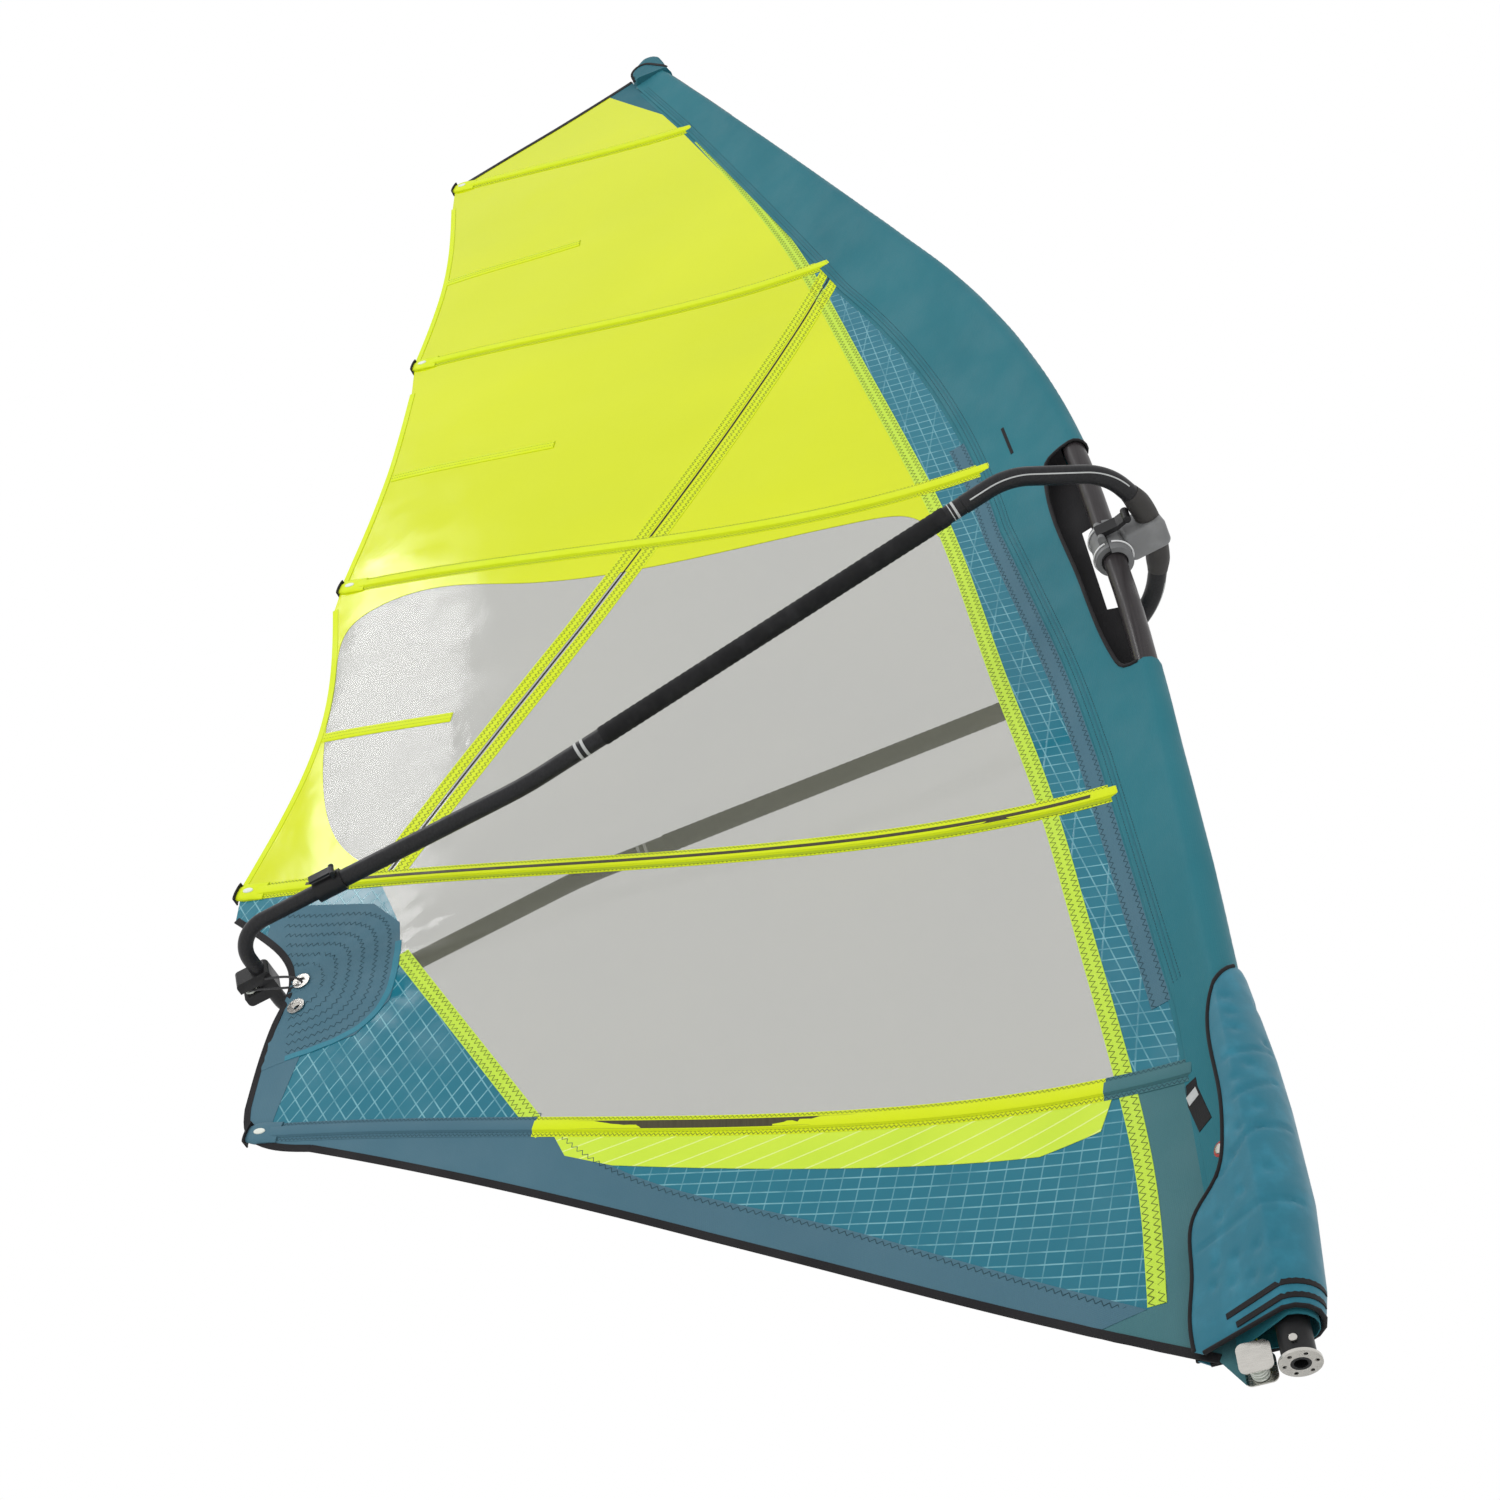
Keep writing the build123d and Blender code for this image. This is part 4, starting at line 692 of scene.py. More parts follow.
def ribbon(path, profile):
    """Closed strip along a path on the sail."""
    return along([sail_normal(x, z) for x, z in path], profile)


def stitches(path, place, lift, swing, pitch, half_width=0.00055):
    """Zigzag thread along a path, or a running stitch for swing 0. Place gives point and outward."""
    made = Gathered()
    dense = smooth(path, pitch / 2)
    left, right = beside(dense, swing), beside(dense, -swing)
    line = []
    for i in range(len(dense)):
        point, out = place(*(left[i] if i % 2 else right[i]))
        line.append((point + out * lift, out))
    step = 1 if swing else 2
    for (a, up), (b, _) in zip(line[::step], line[1::step]):
        side = (b - a).cross(up).normalized() * half_width
        crown = up * THREAD_HIGH
        made.take([a - side, a + side, a + crown, b - side, b + side, b + crown],
                  [(0, 1, 2), (5, 4, 3), (0, 3, 4, 1), (1, 4, 5, 2), (2, 5, 3, 0)])
    return made.points, made.faces


def sail_normal(x, z):
    return surface(x, z), normal_at(x, z)


def cut_off(path, keep):
    """The longest stretch of a path where keep is true."""
    flags = keep(np.array(path))
    best, run = [], []
    for point, good in zip(path, flags):
        run = run + [point] if good else []
        if len(run) > len(best):
            best = run
    return best


THREADS = {"thread_dark": Gathered(), "thread_teal": Gathered()}
THREAD_HIGH = 0.0004
FINE = 0.0004               # half width of the thinner thread


def sew(thread, path, rows, lift, swing, pitch, half_width=0.00055):
    """Rows of stitching beside a path on the sail."""
    for row in rows:
        THREADS[thread].take(*stitches(beside(path, row), sail_normal, lift, swing, pitch, half_width))


# ---- film and laminate panels
def add_panels():
    """Every cut panel of the sail, from its outline in the frame."""
    plain = [
        ("film_head", "film_yellow"),
        ("film_upper", "film_yellow"),
        ("film_middle", "film_yellow"),
        ("head_panel", "cloth_deep"),
        ("luff_panel", "xply_luff"),
        ("foot_panel", "xply_foot"),
        ("tack_panel", "cloth_grey"),
        ("window_lower", "film_clear"),
    ]
    for node, look in plain:
        loops = outline(node)
        add_sheet(node + "_cloth", loops, lambda p, loops=loops: within(p, loops), look, nodes=[node])
    loops = outline("window_upper")
    pane = smooth(WINDOW, 0.012)
    add_sheet("window_upper_film", loops, lambda p: within(p, loops), "film_clear", nodes=["window_upper"])
    flat, triangles = triangulate(loops + [pane], lambda p: within(p, loops) & ~within(p, [pane]), GRID)
    add_piece("window_upper_margin", *two_sided(flat, triangles, on_sail, 0.0005, -0.0011), "film_yellow")


FOOT_BAND = [(-1.50, 0.86), (-0.99, 0.735), (-0.93, 0.655), (-0.84, 0.575), (-0.62, 0.452),
             (-0.40, 0.312), (-0.19, 0.165), (-0.10, 0.10)]
CLEW_BAND = [(-1.60, 1.00), (-1.400, 0.962), (-1.424, 0.86), (-1.436, 0.80), (-1.60, 0.80)]
CLEW_RIM = [(-1.480, 1.318), (-1.360, 1.278), (-1.308, 1.262), (-1.272, 1.236), (-1.254, 1.195),
            (-1.250, 1.117), (-1.260, 1.040), (-1.290, 0.994), (-1.340, 0.970), (-1.427, 0.958)]
CLEW_MIDDLE = (-1.44, 1.115)
CLEW_ROWS = (0.90, 0.78, 0.66, 0.54, 0.42, 0.30)        # rows of stitching, as shares of the rim
SEWN, SEWN_BACK = 0.0006, 0.0001                        # faces of what is sewn on the starboard side


def clew_edge():
    """Notch and corner of the clew."""
    return smooth(NOTCH, 0.012) + smooth(CLEW_CORNER, 0.012)[1:]


def add_overlays():
    """Sheets sewn on the starboard face: foot film, foot and leech bands, clew patch."""
    def cut(name, node, shapes, look, front=SEWN, back=SEWN_BACK, nodes=(), step=GRID):
        loops = outline(node)
        add_sheet(name, loops + shapes, lambda p: within(p, loops) & within(p, shapes), look, front, back,
                  nodes, step=step)

    film = outline("foot_film")
    add_sheet("foot_film_cloth", film, lambda p: within(p, film), "film_lime", 0.0008, SEWN_BACK,
              ["foot_film"])
    cut("foot_band", "foot_panel", [smooth(FOOT_BAND, 0.02) + [(-0.05, 0.0), (-1.5, 0.0)]], "cloth_blue")
    shape = clew_edge() + [(-1.357, 0.5), (-0.4, 0.5), (-0.4, 1.6), (-1.575, 1.6)]
    cut("clew_panel_cloth", "clew_panel", [shape], "xply_clew", 0.0, -0.0006, ["clew_panel"])
    clew = outline("clew_panel")
    add_sheet("clew_band", clew + [shape, CLEW_BAND],
              lambda p: within(p, clew) & within(p, [shape]) & within(p, [CLEW_BAND]), "cloth_blue",
              SEWN, SEWN_BACK)
    cut("clew_patch_cloth", "clew_patch", [shape], "cloth_blue", 0.0010, SEWN_BACK, ["clew_patch"], 0.010)
    rim = smooth(CLEW_RIM, 0.008)

    def inside(points):
        return within(points, clew[:1]) & within(points, [shape])

    ring = ribbon(cut_off(beside(rim, -0.004), inside), tape_profile(0.011, 0.0016))
    add_piece("clew_patch_rim", *ring, "rim_teal")
    for share in CLEW_ROWS:
        row = [tuple(m + (c - m) * share for c, m in zip(point, CLEW_MIDDLE)) for point in rim]
        row = cut_off(row, inside)
        THREADS["thread_teal"].take(*stitches(row, sail_normal, 0.0012, 0.0035, 0.011))


# ---- tapes, strap, pockets, bindings
def pocket_profile(width, crown=0.0058):
    """Flanged strip with a crown over the batten."""
    half = width / 2
    edge = [(half, 0.0011), (0.60 * half, 0.0015), (0.46 * half, crown - 0.0006), (0.36 * half, crown)]
    return [(-half, -0.0003), (half, -0.0003)] + edge + [(-a, o) for a, o in reversed(edge)]


MINI_DOME = [(-0.012, -0.0003), (0.012, -0.0003), (0.012, 0.0009), (0.0085, 0.0022), (-0.0085, 0.0022),
             (-0.012, 0.0009)]


def add_pockets():
    """Batten pockets: flanged strips with a crown over the batten and rows of stitching."""
    for number, (start, end) in enumerate(BATTENS, start=1):
        stop = toward(end, start, BATTEN_END - 0.012)
        front = (start[0] + 0.012, start[1] - 0.0025) if number > 1 else start
        node = f"batten_pocket_{number}"
        stretches = [("", front, stop, "tape_lime")]
        if number == 5:
            luff, clew = toward(start, end, 0.112), toward(start, end, 0.960)
            stretches = [("_front", front, luff, "cloth_grey"), ("_middle", luff, clew, "tape_lime"),
                         ("_aft", clew, stop, "cloth_blue")]
        for suffix, a, b, look in stretches:
            path = straight(a, b, 0.02)
            add_piece(node + suffix, *ribbon(path, pocket_profile(POCKET_W)), look, "rig", [node])
            thread = "thread_dark" if look == "tape_lime" else "thread_teal"
            sew(thread, path, (-0.0145, 0.0145), 0.0013, 0.0022, 0.007)
            sew(thread, path, (-0.0105, 0.0105), 0.0016, 0.0, 0.006, FINE)
    start, end = BATTENS[3]
    # dark strip over pocket 4: a painted shadow along the batten
    line = straight(toward(start, end, 0.05), toward(end, start, 0.14), 0.02)
    add_piece("batten_4_painted_shadow", *ribbon(line, tape_profile(0.0065, 0.0063)), "batten_glass")
    # darker strip on the lower flank of pocket 4: painted shade
    lower = beside(straight(toward(start, end, 0.01), toward(end, start, 0.14), 0.02), 0.0105)
    add_piece("batten_4_shade", *ribbon(lower, tape_profile(0.009, 0.0022)), "tape_olive")
    minis = Gathered()
    for start, end in MINI_BATTENS:
        path = straight(start, toward(end, start, 0.008), 0.015)
        minis.take(*ribbon(path, MINI_DOME))
        sew("thread_dark", path, (-0.0045, 0.0045), 0.0023, 0.0, 0.006, FINE)
    minis.add("mini_batten_tapes", "tape_lime", nodes=["mini_battens"])


def by_seam(bottom, top, offset):
    """Path beside the sleeve's aft seam between two heights."""
    return [(seam_x(z) + offset, z) for z in np.arange(bottom, top, 0.03)]


def add_tapes():
    """Seam tape along the luff and clew panels, and the double diagonal strap."""
    tapes = Gathered()
    luff, clew = smooth(LUFF_TAPE, 0.02), straight(*CLEW_TAPE, 0.02)
    for path in (luff, clew):
        tapes.take(*ribbon(path, tape_profile(0.026, 0.0008)))
    tapes.add("seam_tapes_cloth", "tape_pale", nodes=["seam_tapes"])
    for path in (luff, clew):
        sew("thread_dark", path, (-0.0068, 0.0068), 0.0009, 0.0042, 0.011)
    strap = Gathered()
    middle = straight(*STRAP, 0.02)
    for edge in (-0.0195, 0.0195):
        path = beside(middle, edge)
        strap.take(*ribbon(path, tape_profile(0.027, 0.0010)))
        sew("thread_dark", path, (-0.0065, 0.0065), 0.0011, 0.0036, 0.009)
    strap.add("load_strap_cloth", "tape_lime", nodes=["load_strap"])
    add_piece("load_strap_core", *ribbon(middle, tape_profile(0.0035, 0.0012)), "plastic_black")
    join = by_seam(0.08, 3.95, -0.002)
    add_piece("sleeve_join", *ribbon(join, tape_profile(0.016, 0.0006)), "cloth_teal")
    band = by_seam(0.60, 2.05, -0.020)
    add_piece("luff_band", *ribbon(band, tape_profile(0.030, 0.0007)), "cloth_blue")
    sew("thread_teal", band, (-0.010, 0.010), 0.0008, 0.003, 0.012)
    sew("thread_teal", smooth(FOOT_BAND[1:-1], 0.02), (-0.006,), 0.0008, 0.003, 0.012)


LEECHES = [
    [(-1.374, 3.684), (-1.362, 3.318), (-1.405, 2.987)],
    [(-1.401, 2.874), (-1.425, 2.563), (-1.487, 2.217)],
    [(-1.494, 2.150), (-1.476, 1.756), (-1.579, 1.393)],
]
EDGE = [(-0.0085, -0.0019), (0.0028, -0.0019), (0.0035, -0.0004), (0.0028, 0.0013), (-0.0085, 0.0013)]


def add_bindings():
    """Black bindings round the head, foot and clew, and the narrow hem of the leech."""
    black, hems = Gathered(), Gathered()
    for path in (straight(HEAD_AFT, BATTENS[0][1], 0.02), smooth(FOOT, 0.02), clew_edge()):
        black.take(*ribbon(path, EDGE))
    black.add("edge_bindings_cloth", "binding_black", nodes=["edge_bindings"])
    for points in LEECHES:
        hems.take(*ribbon(smooth(points, 0.02), EDGE))
    hems.add("leech_hems", "tape_lime")


COVER_SIDES, CAP_SIDES = 20, 24
TRIM = [(-0.0075, -0.0012), (0.0075, -0.0012), (0.0075, 0.0016), (-0.0075, 0.0016)]


def squared(value, power):
    """Squashes a sine so that the oval it draws comes out nearer to a rectangle."""
    return np.sign(value) * abs(value) ** power


def add_batten_ends():
    """Moulded batten ends: a sewn pocket end, a black strip round the leech and a pale oval cap."""
    covers, trims, caps, foot = Gathered(), Gathered(), Gathered(), Gathered()
    for number, (start, end) in enumerate(BATTENS, start=1):
        run = Vector((end[0] - start[0], 0, end[1] - start[1])).normalized()
        cross = run.cross(STARBOARD)
        path = straight(toward(end, start, 0.056), toward(end, start, -0.003), 0.004)
        points = []
        for i, (x, z) in enumerate(path):
            part = i / (len(path) - 1)
            wide = 0.0195 - 0.0045 * ease(part, 0.6, 1)
            thick = 0.0030 + 0.0028 * ease(part, 0.0, 0.5) - 0.0030 * ease(part, 0.75, 1)
            middle = Vector((x, draft(x, z) - 0.0012, z))
            for turn in (2 * pi * k / COVER_SIDES for k in range(COVER_SIDES)):
                points.append(middle + cross * (wide * squared(cos(turn), 0.55))
                              + STARBOARD * (thick * squared(sin(turn), 0.7)))
        (foot if number == 5 else covers).take(points, tube_faces(len(path), COVER_SIDES))
        tip = Vector((end[0], draft(*end) - 0.001, end[1]))
        edge = [tip + cross * (0.019 * sin(t)) + run * (0.004 * cos(t) - 0.001)
                for t in np.linspace(-1.5, 1.5, 13)]
        trims.take(*sweep(edge, [run] * 13, TRIM))
        x, z = toward(end, start, 0.022)
        middle = Vector((x, draft(x, z) - 0.0068, z))
        caps.take([middle + run * (0.0105 * share * cos(t)) + cross * (0.0055 * share * sin(t))
                   + STARBOARD * high for share, high in ((1.0, 0.0), (0.93, 0.0012), (0.6, 0.0019))
                   for t in np.linspace(0, 2 * pi, CAP_SIDES + 1)[:-1]], tube_faces(3, CAP_SIDES))
    covers.add("batten_end_covers", "tape_lime", nodes=["batten_ends"])
    foot.add("batten_end_cover_foot", "cloth_blue", nodes=["batten_ends"])
    trims.add("batten_end_trims", "binding_black")
    caps.add("batten_end_caps", "plastic_pale")


# ---- wrapped pieces: sleeve, fairing, head cap
def wrap(s, centre, radius, aft, aft_y, lip):
    """Plan point and outward direction at a girth s from the front of a teardrop, starboard negative."""
    side = -1 if s < 0 else 1
    arc = pi * radius / 2
    if abs(s) <= arc:
        turn = s / radius
        out = Vector((cos(turn), sin(turn), 0))
        return Vector((centre, 0, 0)) + out * radius, out
    start = Vector((centre, side * radius, 0))
    end = Vector((aft, aft_y + side * lip, 0))
    run = end - start
    along = min((abs(s) - arc) / run.length, 1)
    return start + run * along, Vector((-run.y, run.x, 0)).normalized() * -side


def girth(side, x, centre, radius, aft, aft_y, lip):
    """Signed girth at which a teardrop passes an X."""
    if x >= centre:
        return side * radius * acos(min((x - centre) / radius, 1))
    reach = hypot(centre - aft, radius - side * aft_y - lip)
    return side * (pi * radius / 2 + reach * min((centre - x) / (centre - aft), 1))


def sleeve_section(z):
    x, lean = mast_at(z)
    loose = SLEEVE_EASE * min(max((EASE_TOP - z) / (EASE_TOP - EASE_FOOT), 0), 1)
    radius = mast_radius(z) / cos(lean) + SLEEVE_ROOM + loose
    seam = seam_x(z) - 0.003
    return x, radius, seam, draft(seam, z), 0.003


def sleeve_place(s, z):
    point, out = wrap(s, *sleeve_section(z))
    wrinkle = 0.0006 * noise.noise((s * 22, z * 9, 3.0)) - 0.0004
    return point + Vector((0, 0, z)) + out * wrinkle, out


def sleeve_girth(side, x, z):
    return girth(side, x, *sleeve_section(z))


def on_sleeve(path):
    """Points on the starboard side of the sleeve with their outward directions."""
    return [sleeve_place(sleeve_girth(-1, x, z), z) for x, z in path]


BOX = [(0, 1, 2, 3), (7, 6, 5, 4), (0, 4, 5, 1), (1, 5, 6, 2), (2, 6, 7, 3), (3, 7, 4, 0)]
BOX_TURNED = [(3, 2, 1, 0), (4, 5, 6, 7), (4, 0, 1, 5), (5, 1, 2, 6), (6, 2, 3, 7), (7, 3, 0, 4)]
SLEEVE_WALL = 0.0012
FAR_AFT = -9                # any X aft of the seam: the girth then stops at the seam
# black sheet inside the sleeve's cut-out: painted shade where the inside of the sleeve lies in shadow
SHADE_SHEET_LOW, SHADE_SHEET_HIGH, SHADE_SHEET_STEP, SHADE_SHEET_WALL = 1.275, 1.845, 0.006, 0.0008
NEAR_CLAMP, CLEAR = 0.036, 0.016                        # distance of the painted-shade sheet from the mast axis
SEAM_LOW, SEAM_HIGH = 0.62, 3.95
CLAMP_BAND = (1.44, 1.66)   # heights where the painted-shade sheet stays clear of the clamp
SEAM_BAR = [(-0.0012, -0.0002), (0.0012, -0.0002), (0.0012, 0.0004), (-0.0012, 0.0004)]


def add_sleeves():
    """Luff sleeve in two lengths, with piping and a black painted-shade sheet in the cut-out, seam, vent
    and front edge.
    """
    low = np.linspace(SLEEVE_FOOT, SLEEVE_SPLIT, 60)
    loop = ([(sleeve_girth(-1, FAR_AFT, z), z) for z in low]
            + [(sleeve_girth(1, FAR_AFT, z), z) for z in low[::-1]])
    add_sheet("sleeve_lower_cloth", [loop], lambda p: within(p, [loop]), "cloth_teal", 0.0, -SLEEVE_WALL,
              ["sleeve_lower"], sleeve_place, step=0.012)
    high = np.linspace(SLEEVE_SPLIT, SLEEVE_TOP, 130)
    cut = smooth(CUTOUT, 0.012)
    starboard, port = ([(sleeve_girth(side, x, z), z) for x, z in cut] for side in SIDES)
    upper = ([(sleeve_girth(-1, FAR_AFT, z), z) for z in high]
             + [(sleeve_girth(1, FAR_AFT, z), z) for z in high[::-1]] + port + starboard[::-1])
    add_sheet("sleeve_upper_cloth", [upper], lambda p: within(p, [upper]), "cloth_teal", 0.0, -SLEEVE_WALL,
              ["sleeve_upper"], sleeve_place, step=0.013)
    rim = starboard + straight(starboard[-1], port[-1], 0.008)[1:-1] + port[::-1]
    placed = [sleeve_place(s, z) for s, z in rim]
    # black sheets across and along the inside of the cut-out: painted shade
    painted_shade = Gathered()
    for lower, higher in zip(cut, cut[1:]):
        sides = [[sleeve_place(sleeve_girth(side, x, z), z)[0] for x, z in (lower, higher)]
                 for side in SIDES]
        quad = [sides[0][0], sides[1][0], sides[1][1], sides[0][1]]
        thick = Vector((-SHADE_SHEET_WALL, 0, 0))
        painted_shade.take([p + thick for p in quad] + [p + thick * 2 for p in quad], BOX)
    for bottom in np.arange(SHADE_SHEET_LOW, SHADE_SHEET_HIGH, SHADE_SHEET_STEP):
        quad = []
        for z in (bottom, bottom + SHADE_SHEET_STEP):
            aft = float(np.interp(z, [q[1] for q in cut], [q[0] for q in cut]))
            front = mast_at(z)[0] - (NEAR_CLAMP if CLAMP_BAND[0] < z < CLAMP_BAND[1] else CLEAR)
            pair = [sleeve_place(sleeve_girth(1, x, z), z) for x in (aft, max(front, aft + 0.001))]
            quad += [p - out * 0.0002 for p, out in pair]
        low = [quad[0], quad[1], quad[3], quad[2]]
        inward = Vector((0, -SHADE_SHEET_WALL, 0))
        painted_shade.take(low + [p + inward for p in low], BOX_TURNED)
    painted_shade.add("cutout_painted_shade", "binding_black")
    add_piece("cutout_piping", *along(placed, ring_profile(0.0032, 0.0022), 0.0004), "binding_black")
    add_piece("sleeve_seam", *along(on_sleeve(by_seam(SEAM_LOW, SEAM_HIGH, 0.010)), SEAM_BAR), "cloth_deep")
    for inset in (0.004, 0.016):
        THREADS["thread_teal"].take(*stitches(
            by_seam(SEAM_LOW, SEAM_HIGH, inset), lambda x, z: on_sleeve([(x, z)])[0], 0.0004, 0.0, 0.006))
    vent = on_sleeve(straight((-0.158, 2.010), (-0.148, 1.927), 0.006))
    add_piece("sleeve_vent", *along(vent, tape_profile(0.006, 0.0007)), "binding_black")
    front = [sleeve_place(0.0, z) for z in np.arange(3.60, 3.955, 0.02)]
    add_piece("sleeve_front_edge", *along(front, tape_profile(0.010, 0.0007)), "binding_black")


def add_head_cap():
    """Rounded cap over the mast tip, with a bound flap."""
    loop = smooth(CAP[:1] + [(-0.824, 4.016)] + CAP[1:3] + [(-0.894, 4.038)] + CAP[3:], 0.004)

    def thick(x, z):
        away = min(off_line(x, z, a, b) for a, b in zip(loop, loop[1:]))
        part = min(away / CAP_ROUND, 1)
        return CAP_HALF * (0.16 + 0.84 * (1 - (1 - part) ** 2.4) ** (1 / 2.4))

    flat, triangles = triangulate([loop], lambda p: within(p, [loop]), 0.006)
    halves = [thick(float(x), float(z)) for x, z in flat]
    points = [Vector((x, side * half, z)) for side in SIDES for (x, z), half in zip(flat, halves)]
    add_piece("head_cap_shell", points, shell(triangles, len(halves)), "cloth_deep", "rig", ["head_cap"])
    flap = smooth([(-0.812, 3.965), (-0.846, 4.000), (-0.878, 4.022), (-0.901, 4.006),
                   (-0.898, 3.966)], 0.005)
    points = [Vector((x, -thick(x, z) - 0.0003, z)) for x, z in flap]
    add_piece("head_cap_binding", *sweep(points, [STARBOARD] * len(points), tape_profile(0.007, 0.0016)),
              "binding_black")


# places on the fairing, X and height
DIMPLES = [(0.011, 0.526), (0.013, 0.495), (0.014, 0.466), (0.044, 0.526), (0.045, 0.448),
           (0.022, 0.402), (0.001, 0.381), (0.021, 0.331), (-0.006, 0.306), (-0.024, 0.278),
           (0.017, 0.235), (-0.021, 0.219), (-0.053, 0.206), (0.009, 0.137), (-0.015, 0.140),
           (-0.043, 0.144), (-0.070, 0.150), (-0.077, 0.126), (-0.053, 0.114), (-0.028, 0.107),
           (-0.006, 0.099)]
CREASES = [((-0.089, 0.184), (0.044, 0.190)), ((-0.007, 0.418), (0.048, 0.434)),
           ((-0.005, 0.351), (0.045, 0.377)),
           ((-0.042, 0.260), (0.021, 0.302)), ((0.017, 0.299), (0.050, 0.304))]


PIT_DEEP, PIT_WIDE = 0.0034, 0.000045                  # depth, and square of the width
CREASE_DEEP, CREASE_WIDE = 0.0026, 0.000012
FOAM = 0.0062


def fairing_section(z):
    heights, radii = zip(*FAIRING_SECTIONS)
    return 0.0, float(np.interp(z, heights, radii)), FAIRING_AFT, draft(FAIRING_AFT, z), FAIRING_LIP


def fairing_girth(side, x, z):
    return girth(side, x, *fairing_section(z))


def fairing_place(s, z, lift=0.0):
    point, out = wrap(s, *fairing_section(z))
    return point + Vector((0, 0, z)) + out * lift, out


def add_fairing():
    """Padded tack fairing: moulded foam with dimples and creases, bound edge, snap and a plain tag."""
    edge = [(x, z) for x, z in smooth(FAIRING_EDGE, 0.010) if 0.051 <= z <= 0.594]
    both = {side: [(fairing_girth(side, x, z), z) for x, z in edge] for side in SIDES}
    across = [(s, 0.051) for s in np.linspace(both[-1][0][0], both[1][0][0], 24)[1:-1]]
    loop = both[-1][::-1] + across + both[1]
    pits = [(side * abs(fairing_girth(-1, x, z)), z) for x, z in DIMPLES for side in SIDES]
    lines = [tuple((side * abs(fairing_girth(-1, x, z)), z) for x, z in crease)
             for crease in CREASES for side in SIDES]

    def place(s, z):
        low = sum(PIT_DEEP * np.exp(-((s - a) ** 2 + (z - b) ** 2) / PIT_WIDE) for a, b in pits)
        low += sum(CREASE_DEEP * np.exp(-off_line(s, z, a, b) ** 2 / CREASE_WIDE) for a, b in lines)
        rim = min(off_line(s, z, a, b) for a, b in zip(loop, loop[1:] + loop[:1]))
        share = 0.35 + 0.65 * ease(rim, 0, 0.014)
        point, out = fairing_place(s, z, -float(low) - 0.0012 * (1 - ease(rim, 0, 0.012)))
        return point, out * share

    flat, triangles = triangulate([loop], lambda p: within(p, [loop]), 0.0055)
    points, faces = two_sided(flat, triangles, place, 0.0, -FOAM)
    foam = add_piece("tack_fairing_foam", points, faces, "foam_teal", "rig", ["tack_fairing"], 50)
    bound = Gathered()
    for side in SIDES:
        bound.take(*along([fairing_place(s, z, -0.0014) for s, z in both[side]], ring_profile(0.0030)))
    bound.take(*along([fairing_place(s, 0.0525, -0.0012) for s, _ in across], ring_profile(0.0028, 0.0030)))
    bound.add("fairing_binding", "binding_black")
    strips = Gathered()
    for x0, x1, z0, z1 in ((-0.070, 0.046, 0.078, 0.082), (-0.060, 0.044, 0.062, 0.066)):
        path = straight((fairing_girth(-1, x0, z0), z0), (fairing_girth(-1, x1, z1), z1), 0.008)
        strips.take(*along([fairing_place(s, z, -0.0002) for s, z in path], tape_profile(0.008, 0.0010)))
    strips.add("fairing_strips", "binding_black")
    snap = on_sleeve([(-0.040, 0.322)])[0]
    add_piece("snap_ring", *dome(*snap, 0.0105, 0.0016), "snap_red")
    add_piece("snap_cap", *dome(*snap, 0.0072, 0.0034), "stainless")
    tag = on_sleeve(straight((-0.066, 0.452), (-0.052, 0.372), 0.008))
    add_piece("plain_tag", *along(tag, tape_profile(0.026, 0.0006), 0.0002), "binding_black")
    add_piece("plain_tag_panel", *along(tag[2:5], tape_profile(0.020, 0.0003, 0.0001, 0.0001), 0.0008),
              "mark_grey")


def dome(point, out, radius, high, count=28):
    """Low button on a surface."""
    side = out.cross(Vector((0, 0, 1))).normalized()
    rise = side.cross(out)
    levels = [(1.0, -0.0006), (1.0, 0.35 * high), (0.86, 0.78 * high), (0.5, high)]
    points = [point + out * up + side * (radius * share * cos(2 * pi * i / count))
              + rise * (radius * share * sin(2 * pi * i / count))
              for share, up in levels for i in range(count)]
    faces = []
    for level in range(len(levels) - 1):
        for i in range(count):
            j = (i + 1) % count
            low, high = level * count, (level + 1) * count
            faces.append((low + i, low + j, high + j, high + i))
    faces.append(list(range(count))[::-1])
    faces.append([(len(levels) - 1) * count + i for i in range(count)])
    return points, faces


# ---- boom trim
def filleted(points, radii, step=0.006):
    """Polyline with its corners rounded, as flat points a step apart."""
    made = [Vector(points[0])]
    for before, corner, after, radius in zip(points, points[1:], points[2:], radii):
        before, corner, after = Vector(before), Vector(corner), Vector(after)
        back, ahead = (before - corner).normalized(), (after - corner).normalized()
        half = back.angle(ahead) / 2
        middle = corner + (back + ahead).normalized() * (radius / sin(half))
        start, end = corner + back * (radius / tan(half)), corner + ahead * (radius / tan(half))
        first, last = start - middle, end - middle
        turn = first.angle_signed(last)
        count = max(int(abs(turn) * radius / step), 3)
        made += [middle + Matrix.Rotation(-turn * i / count, 2) @ first for i in range(count + 1)]
    made.append(Vector(points[-1]))
    even = []
    for a, b in zip(made, made[1:]):
        count = max(int((b - a).length / step), 1)
        even += [a + (b - a) * i / count for i in range(count)]
    return even + [made[-1]]


def tubed(points, radii, up, count=28):
    """Closed round bar with a radius at each point."""
    placed, faces = sweep(points, [up] * len(points), ring_profile(1, 1, 0, count))
    for i, (point, radius) in enumerate(zip(points, radii)):
        for k in range(count):
            placed[i * count + k] = point + (placed[i * count + k] - point) * radius
    return placed, faces


